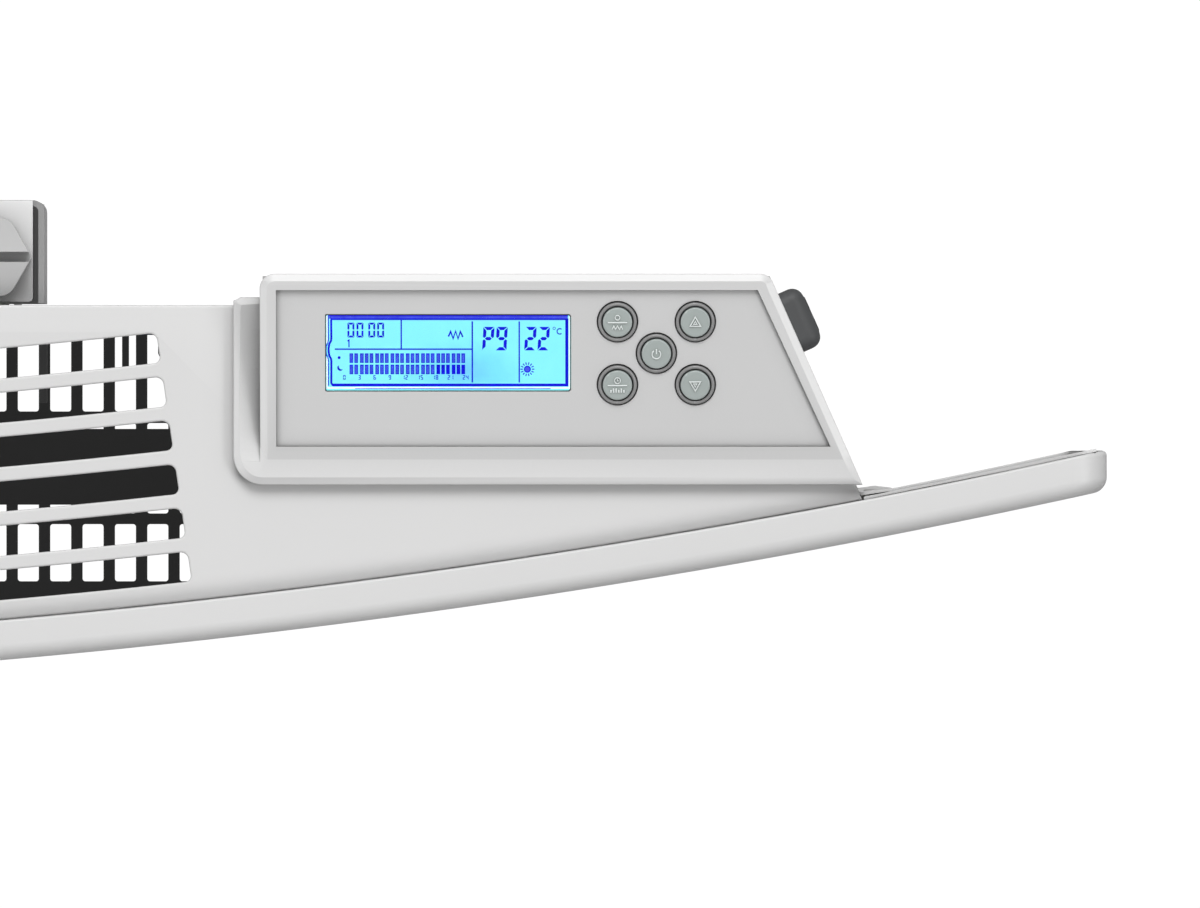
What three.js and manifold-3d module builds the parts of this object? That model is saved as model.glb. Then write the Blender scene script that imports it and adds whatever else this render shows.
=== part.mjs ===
// Wall panel convector heater with a curved front panel, a louvred top plate,
// a control unit on the top right and a steel wall bracket.
// Millimetres, +Z up. X runs along the heater, Y = 0 is the wall plane and the
// front faces -Y. Z = 0 is at half the panel's height.
import * as THREE from 'three';
import { mergeVertices } from 'three/addons/utils/BufferGeometryUtils.js';
import Module from 'manifold-3d';

const wasm = await Module();
wasm.setup();

// ---------------------------------------------------------------- dimensions
const PANEL_W = 740;          // width of the front panel
const PANEL_H = 450;          // height of the front panel
const PANEL_R = 1709.4;       // outer radius of the curved front, in plan
const ARC_Y = 1610.5;         // centre of every plan arc lies at (0, ARC_Y)
const FOLD = 8.0;             // depth of the panel's folded edge
const SHEET = 1.2;            // casing sheet thickness
const CLEAR = 0.3;            // gap between touching pieces
const WALL_GAP = 21.2;        // wall to casing back
const SIDE_X0 = 304.2;        // casing half width at the back
const SIDE_SLOPE = 0.43;      // casing side, widening per mm towards the front
const SIDE_X1 = 320.9;        // casing half width where it meets the panel
const TOP_Z = 218.5;          // upper face of the top plate
const BOT_Z = -218.5;         // lower face of the bottom grille
const CASE_Z = TOP_Z - SHEET - CLEAR;   // casing half height

const SLOT_R = [1647.1, 1655.95, 1664.8, 1673.7, 1682.55, 1691.4]; // rear radius of each louvre
const SLOT_W = 6.0;
const SLOT_GROUPS = [[null, -66], [-58, 58], [66, null]]; // X ranges, the outer ones end on slanted lines
const SLOT_END = [179.3, -27.1, 186.4, -77.0]; // slanted line of the right-hand slot ends

const GRILLE_PITCH = 6.92;    // bottom grille
const GRILLE_OPEN = 4.47;
const GRILLE_ROWS = [[-42.0, -23.6, 205], [-63.8, -44.5, 205], [-78.3, -66.1, 190]]; // y0, y1, half length

const ELEMENT = { x0: -190, x1: 190, y: -53.8, z: -150, halfY: 8, halfZ: 29 };

const TILT = Math.tan(14 * Math.PI / 180);  // slope of the control face, falling to the front
const TILT_A = Math.atan(TILT);
const FACE_Y = -52.2;         // where the control face meets the flange top
const FLANGE_Z0 = TOP_Z + CLEAR;
const FLANGE_Z1 = 221.5;
const FASCIA_TOP = -0.9, FASCIA_T = 1.2;
const BTN_R = 2.97, RING_IN = 3.27, RING_OUT = 4.07, BTN_TRAVEL = 0.8;
const BUTTONS = {             // plan centres
  mode: [271.8, -24.6], up: [287.4, -24.6], power: [279.6, -30.9],
  program: [271.8, -37.2], down: [287.4, -37.2],
};
const SWITCH_AT = [306.6, -24.8, 209.5];    // centre of the main switch on the inclined side
const SWITCH_A = Math.atan(0.446);

const BRACKET_X = 156.5, BRACKET_T = 1.2, BRACKET_Z0 = -165, BRACKET_Z1 = 201.7;
const BRACKET_WIDE_Z = 165;   // the bracket is at full width from here up
const HOOK_X = 145.2;         // the lower part's edge is folded forward into the hooks
const SEAT_T = 0.5;           // height of the raised seats round the screw slots
const LOCK = [145.0, -11.5];  // plan centre of the right-hand lock
const HOOK_Z = -138;

// -------------------------------------------------------------------- tools
function toManifold(g0) {
  let g = g0.clone();
  for (const k of Object.keys(g.attributes)) if (k !== 'position') g.deleteAttribute(k);
  g = mergeVertices(g, 1e-4);
  return new wasm.Manifold(new wasm.Mesh({
    numProp: 3,
    vertProperties: new Float32Array(g.attributes.position.array),
    triVerts: new Uint32Array(g.index.array),
  }));
}
function toGeometry(m) {
  const k = m.getMesh();
  const g = new THREE.BufferGeometry();
  g.setAttribute('position', new THREE.BufferAttribute(new Float32Array(k.vertProperties), 3));
  g.setIndex(new THREE.BufferAttribute(new Uint32Array(k.triVerts), 1));
  g.computeVertexNormals();
  return g;
}
// first piece, then ['+', piece], ['-', piece] or ['&', piece] steps
function build(base, ...steps) {
  let m = toManifold(base);
  for (const [op, g] of steps) {
    const t = toManifold(g);
    m = op === '+' ? m.add(t) : op === '-' ? m.subtract(t) : m.intersect(t);
  }
  return toGeometry(m);
}
const V = (x, y) => new THREE.Vector2(x, y);
function shapeOf(pts, holes = []) {
  const s = new THREE.Shape(pts.map(p => V(p[0], p[1])));
  for (const h of holes) s.holes.push(new THREE.Path(h.map(p => V(p[0], p[1]))));
  return s;
}
function prismZ(pts, z0, z1, holes = []) {
  const g = new THREE.ExtrudeGeometry(shapeOf(pts, holes), { depth: z1 - z0, bevelEnabled: false });
  return g.translate(0, 0, z0);
}
const swapYZ = (g, a, b, c) => g.applyMatrix4(new THREE.Matrix4().makeBasis(a, b, c));
const EX = new THREE.Vector3(1, 0, 0), EY = new THREE.Vector3(0, 1, 0), EZ = new THREE.Vector3(0, 0, 1);
function prismX(ptsYZ, x0, x1, holes = []) {
  const g = new THREE.ExtrudeGeometry(shapeOf(ptsYZ, holes), { depth: x1 - x0, bevelEnabled: false });
  g.translate(0, 0, x0);
  return swapYZ(g, EY, EZ, EX);
}
function prismY(ptsXZ, y0, y1, holes = []) {
  const flip = l => l.map(p => [p[1], p[0]]);
  const g = new THREE.ExtrudeGeometry(shapeOf(flip(ptsXZ), holes.map(flip)), { depth: y1 - y0, bevelEnabled: false });
  g.translate(0, 0, y0);
  return swapYZ(g, EZ, EX, EY);
}
const box = (x0, x1, y0, y1, z0, z1) =>
  new THREE.BoxGeometry(x1 - x0, y1 - y0, z1 - z0).translate((x0 + x1) / 2, (y0 + y1) / 2, (z0 + z1) / 2);
function rod(axis, r, a, b, p, q, n = 12) {
  const g = new THREE.CylinderGeometry(r, r, b - a, n);
  g.translate(0, (a + b) / 2, 0);
  if (axis === 'z') return g.rotateX(Math.PI / 2).translate(p, q, 0);       // p = x, q = y
  if (axis === 'x') return g.rotateZ(-Math.PI / 2).translate(0, p, q);      // p = y, q = z
  return g.translate(p, 0, q);                                              // p = x, q = z
}
// lathe profile [radius, height] pairs, closed on itself or on the axis, turned to an axis
function turned(profile, n, axis, at) {
  const g = new THREE.LatheGeometry(profile.map(p => V(p[0], p[1])), n);
  if (axis === 'z') g.rotateX(Math.PI / 2);
  if (axis === 'x') g.rotateZ(-Math.PI / 2);
  return g.translate(...at);
}
const ring = (r0, r1, h0, h1) => [[r0, h0], [r1, h0], [r1, h1], [r0, h1], [r0, h0]];
const arcY = (R, x) => ARC_Y - Math.sqrt(R * R - x * x);
function arc(R, x0, x1, n) {
  const out = [];
  for (let i = 0; i <= n; i++) { const x = x0 + (x1 - x0) * i / n; out.push([x, arcY(R, x)]); }
  return out;
}
// closed outline with rounded corners: points are [x, y, radius]
function rounded(pts, seg = 3) {
  const out = [];
  const n = pts.length;
  for (let i = 0; i < n; i++) {
    const p = pts[i], a = pts[(i + n - 1) % n], b = pts[(i + 1) % n];
    const r = p[2] || 0;
    if (!r) { out.push([p[0], p[1]]); continue; }
    const u = V(a[0] - p[0], a[1] - p[1]).normalize(), w = V(b[0] - p[0], b[1] - p[1]).normalize();
    const half = Math.acos(u.dot(w)) / 2, t = r / Math.tan(half);
    const s = V(p[0] + u.x * t, p[1] + u.y * t), e = V(p[0] + w.x * t, p[1] + w.y * t);
    const m = u.clone().add(w).normalize().multiplyScalar(r / Math.sin(half));
    const c = V(p[0] + m.x, p[1] + m.y);
    let a0 = Math.atan2(s.y - c.y, s.x - c.x), a1 = Math.atan2(e.y - c.y, e.x - c.x);
    while (a1 - a0 > Math.PI) a1 -= 2 * Math.PI;
    while (a1 - a0 < -Math.PI) a1 += 2 * Math.PI;
    for (let k = 0; k <= seg; k++) { const q = a0 + (a1 - a0) * k / seg; out.push([c.x + r * Math.cos(q), c.y + r * Math.sin(q)]); }
  }
  return out;
}
const roundRect = (x0, x1, y0, y1, r, seg = 3) => rounded([[x0, y0, r], [x1, y0, r], [x1, y1, r], [x0, y1, r]], seg);
function tube(points, r, steps, sides = 8) {
  const curve = new THREE.CatmullRomCurve3(points.map(p => new THREE.Vector3(...p)), false, 'centripetal');
  const c = [];
  for (let i = 0; i < sides; i++) c.push([r * Math.cos(i * 2 * Math.PI / sides), r * Math.sin(i * 2 * Math.PI / sides)]);
  return new THREE.ExtrudeGeometry(shapeOf(c), { steps, extrudePath: curve, bevelEnabled: false });
}

const heater = new THREE.Group();
const mat = (color, roughness, metalness) => ({ color, roughness, metalness });
const WHITE = mat(0xe9e9e9, 0.45, 0.0), PLASTIC = mat(0xe6e6e6, 0.4, 0.0), FASCIA = mat(0xc6c7c8, 0.55, 0.0);
const BLACK = mat(0x242425, 0.7, 0.0), STEEL = mat(0x9a9c9e, 0.45, 0.8), LOCKGREY = mat(0xbfc0c1, 0.5, 0.0);
const RUBBER = mat(0x4c4e50, 0.8, 0.0), BUTTON = mat(0xaab5b3, 0.45, 0.1), RINGM = mat(0x6e7172, 0.5, 0.1);
const GLASS = mat(0x9fe6ff, 0.1, 0.0), CERAMIC = mat(0xe8e2d4, 0.5, 0.0), PCB = mat(0x2d6b3f, 0.6, 0.0);
const DARKPL = mat(0x303234, 0.5, 0.0), BRASS = mat(0xb59a5a, 0.35, 0.9), RED = mat(0x8f2f28, 0.6, 0.0), BLUE = mat(0x30487a, 0.6, 0.0);
function add(name, geometry, m, parent = heater) {
  const mesh = new THREE.Mesh(geometry, new THREE.MeshStandardMaterial(m));
  mesh.name = name;
  parent.add(mesh);
  return mesh;
}

// --------------------------------------------------------------- front panel
{
  const w = PANEL_W / 2, h = PANEL_H / 2, n = 24;
  const outer = prismZ([...arc(PANEL_R, -w, w, n), ...arc(PANEL_R - FOLD, w, -w, n)], -h, h);
  const inner = prismZ([...arc(PANEL_R - SHEET, -w + SHEET, w - SHEET, n), ...arc(PANEL_R - FOLD - 2, w - SHEET, -w + SHEET, n)],
    -h + SHEET, h - SHEET);
  add('front_panel', build(outer, ['-', inner]), WHITE);
}
const SCREWS = [[-324.4, -150], [324.4, -150], [-324.4, 150], [324.4, 150]];
{
  const w = PANEL_W / 2 - 2.2, n = 20, R1 = PANEL_R - FOLD - CLEAR, R0 = R1 - 1.0;
  let steps = [['-', box(-323.6, 323.6, -120, -50, CASE_Z - 3.5, 240)], ['-', box(-323.6, 323.6, -120, -50, -240, -CASE_Z + 3.5)]];
  for (const [x, z] of SCREWS) steps.push(['-', rod('y', 2.3, -70, -50, x, z, 10)]);
  add('panel_backing_sheet', build(prismZ([...arc(R1, -w, w, n), ...arc(R0, w, -w, n)], -PANEL_H / 2 + 1.6, PANEL_H / 2 - 1.6), ...steps), WHITE);
}

// --------------------------------------------------------------- rear casing
const NOTCH = { x: 283.4, y: -39.2, z: 197.4 };   // corner left free for the switch pod
{
  const b = -WALL_GAP, t = SHEET, xo = y => SIDE_X0 + (b - y) * SIDE_SLOPE;
  const k = 1.31;                                  // wall thickness measured along X
  const right = [[xo(b), b], [xo(-57.2), -57.2], [327.2, -56.3], [327.2, -57.5], [xo(-58.7) - k, -58.7], [xo(b - t) - k, b - t]];
  const left = right.map(p => [-p[0], p[1]]).reverse();
  const steps = [['-', box(NOTCH.x, 340, NOTCH.y, 0, NOTCH.z, 240)]];
  for (const s of [-1, 1]) {
    const hx = s * HOOK_X;
    steps.push(['-', box(hx - 3.8, hx + 3.8, -24, -20, HOOK_Z - 26, HOOK_Z + CLEAR)]);
    const a = s * (LOCK[0] - 18.8), c = s * (LOCK[0] + 5.4);
    steps.push(['-', box(Math.min(a, c), Math.max(a, c), -24, -20, 171, 181)]);
  }
  steps.push(['-', rod('y', 6.5, -24, -20, 250, -190, 16)]);
  for (const [x, z] of SCREWS) {
    steps.push(['-', rod('y', 1.9, -60, -50, x, z, 12)]);
    steps.push(['-', turned([[0, 0], [1.9, 0], [3.2, 1], [3.2, 4], [0, 4]], 12, 'y', [x, -58.1, z])]);
  }
  add('rear_casing', build(prismZ([...right, ...left], -CASE_Z, CASE_Z), ...steps), WHITE);
}
SCREWS.forEach(([x, z], i) => {
  // countersunk head flush with the flange, shank through flange and backing sheet
  add(`casing_screw_${i + 1}`, turned([[0, 0], [1.6, 0], [1.6, 5.3], [2.7, 6.15], [2.7, 6.3], [0, 6.3]], 12, 'y', [x, -63.25, z]), STEEL);
});

// ------------------------------------------------------------------ top plate
const PLATE_R = PANEL_R - FOLD - CLEAR;
function platePoints(notch) {
  const b = -WALL_GAP, xs = y => SIDE_X0 + (b - y) * SIDE_SLOPE;
  const pts = [[-SIDE_X0, b], [-SIDE_X1, arcY(PLATE_R, -SIDE_X1)]];
  pts.push(...arc(PLATE_R, -SIDE_X1, SIDE_X1, 20).slice(1));
  // the notch for the switch pod runs on into the room for the electronics below the control housing
  if (notch) pts.push([xs(NOTCH.y), NOTCH.y], [300, NOTCH.y], [306, -51], [204, -51], [204, -23.9], [NOTCH.x, -23.9], [NOTCH.x, b]);
  else pts.push([SIDE_X0, b]);
  return pts;
}
{
  const holes = [];
  const [ex0, ey0, ex1, ey1] = SLOT_END;
  for (const R of SLOT_R) {
    for (const [g0, g1] of SLOT_GROUPS) {
      const far = R + SLOT_W;
      const end = r => {
        let x = ex0;
        for (let i = 0; i < 6; i++) x = ex0 + (ex1 - ex0) * (ey0 - arcY(r, x)) / (ey0 - ey1);
        return x;
      };
      const xa = r => g0 === null ? -end(r) : g0, xb = r => g1 === null ? end(r) : g1;
      holes.push([...arc(R, xa(R), xb(R), 4), ...arc(far, xb(far), xa(far), 4)]);
    }
  }
  add('top_plate', prismZ(platePoints(true), TOP_Z - SHEET, TOP_Z, holes), WHITE);
}
{
  const steps = [];
  for (const [y0, y1, half] of GRILLE_ROWS) {
    const n = Math.floor((half - 3 - GRILLE_OPEN / 2) / GRILLE_PITCH);
    for (let i = -n; i <= n; i++) {
      const c = 146.1 - 21 * GRILLE_PITCH + i * GRILLE_PITCH;   // a column falls on X = 146.1
      if (Math.abs(c) > half - 3) continue;
      steps.push(['-', box(c - GRILLE_OPEN / 2, c + GRILLE_OPEN / 2, y0, y1, BOT_Z - 1, BOT_Z + SHEET + 1)]);
    }
  }
  add('bottom_grille', build(prismZ(platePoints(false), BOT_Z, BOT_Z + SHEET), ...steps), BLACK);
}

// ------------------------------------------------------------ heating element
const E = ELEMENT;
{
  const half = [];
  const fins = [-28, -20, -12, 12, 20, 28];
  const web = 1.5, tip = E.halfY, ft = 0.9;
  for (const f of fins) {
    if (f === 12) half.push([web, -5.6], [5.6, -2.4], [5.6, 2.4], [web, 5.6]);
    half.push(...(f === -28 ? [] : [[web, f - ft]]), [tip, f - ft], [tip, f + ft], ...(f === 28 ? [] : [[web, f + ft]]));
  }
  const profile = [...half, ...half.slice().reverse().map(p => [-p[0], p[1]])].map(p => [p[0] + E.y, p[1] + E.z]);
  add('heating_element', build(prismX(profile, E.x0, E.x1),
    ['+', rod('x', 4, E.x0 - 14, E.x0 + 1, E.y, E.z)], ['+', rod('x', 4, E.x1 - 1, E.x1 + 14, E.y, E.z)]), BLACK);
}
for (const [side, s, xe] of [['left', -1, E.x0], ['right', 1, E.x1]]) {
  // ceramic bush with a flange inside the bracket; profile height runs outwards from the element
  const prof = [[4.3, 0.5], [9, 0.5], [9, 5.4], [6, 5.4], [6, 10.6], [4.3, 10.6], [4.3, 0.5]];
  const g = turned(prof, 16, 'x', [0, 0, 0]);
  if (s < 0) g.rotateZ(Math.PI);
  add(`element_bush_${side}`, g.translate(xe, E.y, E.z), CERAMIC);
  const bx = xe + s * 5.7, bx2 = bx + s * 1.2, top = s > 0 ? -80 : -120;
  const plate = prismX(roundRect(-62.6, -42, -CASE_Z, top, 2, 2), Math.min(bx, bx2), Math.max(bx, bx2));
  const foot = box(Math.min(bx, bx + s * 16), Math.max(bx, bx + s * 16), -62.6, -30, -CASE_Z, -CASE_Z + 1.2);
  add(`element_bracket_${side}`, build(plate, ['+', foot], ['-', rod('x', 6.3, Math.min(bx, bx2) - 1, Math.max(bx, bx2) + 1, E.y, E.z, 16)]), STEEL);
}
{
  const x = E.x1 + 5.7 + 1.2 + CLEAR;
  add('thermal_cutout', build(rod('x', 7.5, x, x + 6, -52.3, -95, 16), ['+', box(x, x + 1.2, -61.8, -42.8, -101, -89)],
    ['+', box(x + 5, x + 11, -55.8, -55.0, -98, -92)], ['+', box(x + 5, x + 11, -49.6, -48.8, -98, -92)]), DARKPL);
}
{
  const xr = E.x1 + 14 + CLEAR + 0.4, xl = E.x0 - 14 - CLEAR - 0.4;
  add('element_lead_live', tube([[xr, E.y, E.z], [xr + 5, E.y, E.z], [xr + 11, E.y, E.z + 6], [xr + 18, -48, -120], [xr + 22, -38, -20], [xr + 26, -36, 100], [xr + 26, -36, 187.4]], 1.4, 18), RED);
  add('element_lead_neutral', tube([[xl, E.y, E.z], [xl - 5, E.y, E.z], [xl - 10, E.y + 3, E.z - 7], [xl - 4, -38, -185], [xl + 14, -26.5, -206], [xl + 50, -24.9, -210], [-60, -24.4, -210],
    [120, -24.4, -210], [200, -24.6, -209], [220, -26, -190], [223, -29, -120], [226, -30, 60], [226, -30, 187.4]], 1.4, 32), BLUE);
}
add('terminal_block', build(box(266, 292, -38.7, -22.7, -186, -158),
  ['-', rod('y', 3, -40, -30, 272, -172)], ['-', rod('y', 3, -40, -30, 279, -172)], ['-', rod('y', 3, -40, -30, 286, -172)]), CERAMIC);
add('cable_gland', turned([[3.6, 0], [7.4, 0], [7.4, 6], [6.2, 6], [6.2, 7.8], [9, 7.8], [9, 10.6], [3.6, 10.6], [3.6, 0]], 16, 'y',
  [250, -WALL_GAP - SHEET - CLEAR - 6, -190]), DARKPL);
add('room_sensor_clip', build(box(262, 274, -46, -34, -CASE_Z, -CASE_Z + 7), ['-', rod('x', 2.9, 260, 276, -40, -CASE_Z + 5.5, 12)]), DARKPL);
add('room_sensor', turned([[0, 0], [2.2, 0], [2.6, 0.6], [2.6, 15], [1.8, 16.5], [0, 16.5]], 12, 'x', [260, -40, -CASE_Z + 5.5]), STEEL);

// ---------------------------------------------------------------- control unit
const faceZ = y => FLANGE_Z1 + (y - FACE_Y) * TILT;
const sideX = y => 303.9 + (-18.85 - y) * 0.446;     // inclined right side of the control unit
// turned group: local x = X, y = up the slope, z = normal of the face
const face = new THREE.Group();
face.position.set(0, FACE_Y, FLANGE_Z1);
face.rotation.x = TILT_A;
heater.add(face);
const cA = Math.cos(TILT_A);
// plan Y to distance up the slope, for a point at height w above the face
const up = (y, w = FASCIA_TOP) => (y - FACE_Y + w * Math.sin(TILT_A)) / cA;
const onFace = g => g.clone().rotateX(TILT_A).translate(0, FACE_Y, FLANGE_Z1);
const FASCIA_PTS = (d) => [[203.4 + d, -49.6 + d], [314.5 - 0.466 * d - 1.1 * d, -49.6 + d], [299.9 + 0.466 * d - 1.1 * d, -18.3 - d], [203.4 + d, -18.3 - d]];
{
  const rearLeft = [195.0, -20.35], flange = rounded([
    [195.0, -57.25, 6], [321.0, -57.25, 0.6], [321.0, -55.85], [sideX(-50.5), -50.5], [sideX(-19.65), -19.65], [196.4, -19.65], rearLeft,
  ], 4);
  const body = rounded([[200.3, -52.19], [sideX(-52.19), -52.19], [sideX(-15), -15, 2.6], [200.3, -15, 3]], 3);
  const slope = (off, y0, y1) => prismX([[y0, faceZ(y0) + off], [y1, faceZ(y1) + off], [y1, 260], [y0, 260]], 150, 360);
  const inner = [[202.3, -50.2], [sideX(-50.2) - 2.4, -50.2], [sideX(-17) - 2.4, -17], [202.3, -17]];
  const cavity = build(prismZ(inner, 218.6, 240), ['-', slope(-3.6, -60, -10)]);
  const pod = [[284, -38.8], [sideX(-38.8), -38.8], [sideX(-15), -15], [284, -15]];
  const podIn = [[285.8, -37.0], [sideX(-37.0) - 2.0, -37.0], [sideX(-16.8) - 2.0, -16.8], [285.8, -16.8]];
  const recess = (d, w0, w1) => onFace(prismZ(FASCIA_PTS(d).map(p => [p[0], up(p[1])]), w0, w1));
  const sw = g => g.rotateZ(SWITCH_A).translate(...SWITCH_AT);
  add('control_housing', build(prismZ(flange, FLANGE_Z0, FLANGE_Z1),
    ['+', build(prismZ(body, FLANGE_Z0, 240), ['-', slope(0, -60, -10)])],
    ['+', prismZ(pod, 198, FLANGE_Z0 + 0.5)],
    ['-', cavity],
    ['-', prismZ(podIn, 199.8, 220)],
    ['-', recess(-CLEAR, FASCIA_TOP - FASCIA_T - CLEAR, 8)],
    ['-', recess(1.2, -8, 0)],
    ['+', build(box(200.6, 284.5, -21.5, -15.4, FLANGE_Z0, FLANGE_Z0 + 1.4))],
    ['-', sw(prismX(roundRect(-6.8, 6.8, -9.9, 9.9, 2, 2), -3, 3))]), PLASTIC);

  const win = [[213.2, -38.6], [262.5, -38.6], [262.5, -23.1], [213.2, -23.1]].map(p => [p[0], up(p[1])]);
  const bh = Object.values(BUTTONS).map(([x, y]) => { const c = []; for (let i = 0; i < 16; i++) c.push([x + 4.37 * Math.cos(i * Math.PI / 8), up(y) + 4.37 / cA * Math.sin(i * Math.PI / 8)]); return c; });
  add('control_fascia', prismZ(FASCIA_PTS(0).map(p => [p[0], up(p[1])]), FASCIA_TOP - FASCIA_T, FASCIA_TOP, [win, ...bh]), FASCIA, face);
  add('display_window', prismZ([[213.5, up(-38.3)], [262.2, up(-38.3)], [262.2, up(-23.4)], [213.5, up(-23.4)]], FASCIA_TOP - 1.1, FASCIA_TOP - 0.2), GLASS, face);
  add('display_module', prismZ([[210.5, up(-41)], [265, up(-41)], [265, up(-22.4)], [210.5, up(-22.4)]], -4.9, -2.4), mat(0x2f9fe0, 0.3, 0), face);
  add('control_board', prismZ([[209.2, up(-46.4)], [296, up(-46.4)], [296, up(-22.6)], [209.2, up(-22.6)]], -6.6, -5.2), PCB, face);
  for (const [k, [x, y]] of Object.entries(BUTTONS)) {
    const at = [x, up(y), 0];
    // rings and caps are round in plan, so a little longer along the slope
    const along = g => g.scale(1, 1 / cA, 1).translate(...at);
    add(`button_ring_${k}`, along(turned(ring(RING_IN, RING_OUT, FASCIA_TOP - FASCIA_T, FASCIA_TOP + 0.2), 16, 'z', [0, 0, 0])), RINGM, face);
    add(`button_${k}`, along(turned([[0, -4.1], [1.5, -4.1], [1.5, -3.1], [4.4, -3.1], [4.4, -2.4], [BTN_R, -2.4], [BTN_R, -0.5], [BTN_R - 0.4, -0.1], [0, -0.1]], 16, 'z', [0, 0, 0])), BUTTON, face);
  }
  // electronics tray hung under the top plate
  const z1 = TOP_Z - SHEET - CLEAR;
  add('electronics_tray', build(prismZ([[207, -49.5], [280, -49.5], [280, -26], [207, -26]], 188, z1),
    ['+', prismZ([[202, -53.5], [280, -53.5], [280, -23.2], [202, -23.2]], z1 - 1.4, z1)],
    ['-', box(276.2, 300, -60, -20, 215.2, 230)],
    ['-', prismZ([[208.6, -47.9], [278.4, -47.9], [278.4, -27.6], [208.6, -27.6]], 189.6, 230)],
    ['-', rod('z', 2.2, 180, 200, 226, -30, 10)], ['-', rod('z', 2.2, 180, 200, 230.3, -36, 10)]), DARKPL);
  add('power_board', box(211, 276, -45.5, -40.3, 193, 194.6).translate(0, 0, 0), PCB);
  add('power_relay', build(box(250, 269, -45.3, -33.5, 194.9, 210), ['-', box(248, 271, -41, -38, 208.5, 212)]), DARKPL);

  // main switch on the inclined side; local x = outward, y = rearward, z = up
  const place = g => g.rotateZ(SWITCH_A).translate(...SWITCH_AT);
  add('main_switch_body', place(build(prismX(roundRect(-5.2, 5.2, -8.2, 8.2, 0.8, 1), -12.5, -4),
    ['+', prismX(roundRect(-6.3, 6.3, -9.3, 9.3, 1, 1), -4.2, -2.6)], ['-', prismX(roundRect(-4.4, 4.4, -7.4, 7.4, 0.5, 1), -8, -1)])), DARKPL);
  add('main_switch_rocker', place(prismX(roundRect(-4.6, 4.6, -7.2, 7.2, 1, 2), -1.6, 2.9)), DARKPL);
  add('switch_boot', place(build(prismX(roundRect(-6.4, 6.4, -9.5, 9.5, 2, 3), -1.2, 3.6),
    ['+', prismX(roundRect(-5.3, 5.3, -8.4, 8.4, 1.6, 3), 3.5, 4.7)], ['-', prismX(roundRect(-4.9, 4.9, -7.5, 7.5, 1.2, 2), -2, 3.2)])), RUBBER);
}

// ---------------------------------------------------------------- wall bracket
{
  const o = BRACKET_X, i = BRACKET_X - BRACKET_T, d = -20.8, t = BRACKET_T, zw = BRACKET_WIDE_Z;
  const lx = HOOK_X + t / 2;                       // half width of the lower part
  const plan = rounded([[-o, 0, 2.4], [-o, d], [-i, d], [-i, -t, 1.2], [i, -t, 1.2], [i, d], [o, d], [o, 0, 2.4]], 3);
  const steps = [['+', prismY(roundRect(-lx, lx, BRACKET_Z0, zw + 2, 2, 2), -t, 0)]];
  for (const s of [-1, 1]) {
    const span = (a, b) => [Math.min(s * a, s * b), Math.max(s * a, s * b)];
    const [s0, s1] = span(146, o - 0.6), [h0, h1] = span(HOOK_X - t / 2, lx);
    steps.push(['+', box(s0, s1, d, -0.6, zw, zw + t)]);
    steps.push(['+', prismX([[-0.6, BRACKET_Z0 + 3], [d, BRACKET_Z0 + 9], [d, HOOK_Z - 12], [-25.4, HOOK_Z - 12], [-25.4, HOOK_Z + 10], [-23.4, HOOK_Z + 10], [-23.4, HOOK_Z],
      [d, HOOK_Z], [d, HOOK_Z + 8], [-0.6, HOOK_Z + 20]], h0, h1)]);
    for (const z of [-136, 166]) steps.push(['+', prismY(roundRect(s * 128 - 9, s * 128 + 9, z - 9, z + 14, 3, 2), -t - SEAT_T, -0.4)]);
  }
  steps.push(['-', prismY(roundRect(-110, 110, -110, -14, 4, 2), -3, 1)], ['-', prismY(roundRect(-110, 110, 14, 150, 4, 2), -3, 1)]);
  for (const s of [-1, 1]) {
    for (const z of [-136, 166]) steps.push(['-', prismY(roundRect(s * 128 - 3.5, s * 128 + 3.5, z - 3.5, z + 9, 3.4, 3), -3, 1)]);
    steps.push(['-', rod('y', 2.9, -3, 1, s * LOCK[0], 192, 12)]);
  }
  add('wall_bracket', build(prismZ(plan, zw, BRACKET_Z1), ...steps), STEEL);
}
for (const [side, s] of [['left', -1], ['right', 1]]) {
  const cx = s * LOCK[0], cy = LOCK[1];
  const a = s * 133, b = s * 154.2, x0 = Math.min(a, b), x1 = Math.max(a, b);
  add(`lock_housing_${side}`, build(prismZ(roundRect(x0, x1, -20.5, -BRACKET_T - CLEAR, 1, 2), 182, 203),
    ['+', rod('y', 2.6, -2.4, -0.3, s * LOCK[0], 192, 12)],
    // lip over the bracket's upper edge
    ['+', box(x0, x1, -2.9, -0.1, BRACKET_Z1 + CLEAR, 203)],
    ['-', rod('z', 4.12, 180, 205, cx, cy, 20)]), LOCKGREY);
  const hex = [];
  for (let i = 0; i < 6; i++) { const q = i * Math.PI / 3; hex.push([cx + 9.12 * Math.cos(q), cy + 9.12 * Math.sin(q), 2.2]); }
  const hexTop = hex.map(p => [cx + (p[0] - cx) * 0.93, cy + (p[1] - cy) * 0.93, 2]);
  add(`lock_knob_${side}`, build(prismZ(rounded(hex, 2), 203.3, 208.2), ['+', prismZ(rounded(hexTop, 2), 208, 209)],
    ['+', rod('z', 4.0, 177.4, 203.4, cx, cy, 20)], ['+', box(cx - 1.8, cx + 1.8, cy - 1.8, cy + 1.8, 172, 178)],
    ['-', box(cx - 12, cx + 12, cy - 1, cy + 1, 206.4, 212)]), LOCKGREY);
  // locking cam on the square end of the knob's shaft, pointing into the casing
  add(`lock_cam_${side}`, build(prismZ(rounded([[cx - 4, cy - 16, 1.5], [cx + 4, cy - 16, 1.5], [cx + 4, cy + 4, 2], [cx - 4, cy + 4, 2]], 2), 173.4, 176.6),
    ['-', box(cx - 2.1, cx + 2.1, cy - 2.1, cy + 2.1, 170, 180)]), STEEL);
}

export default heater;
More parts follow.
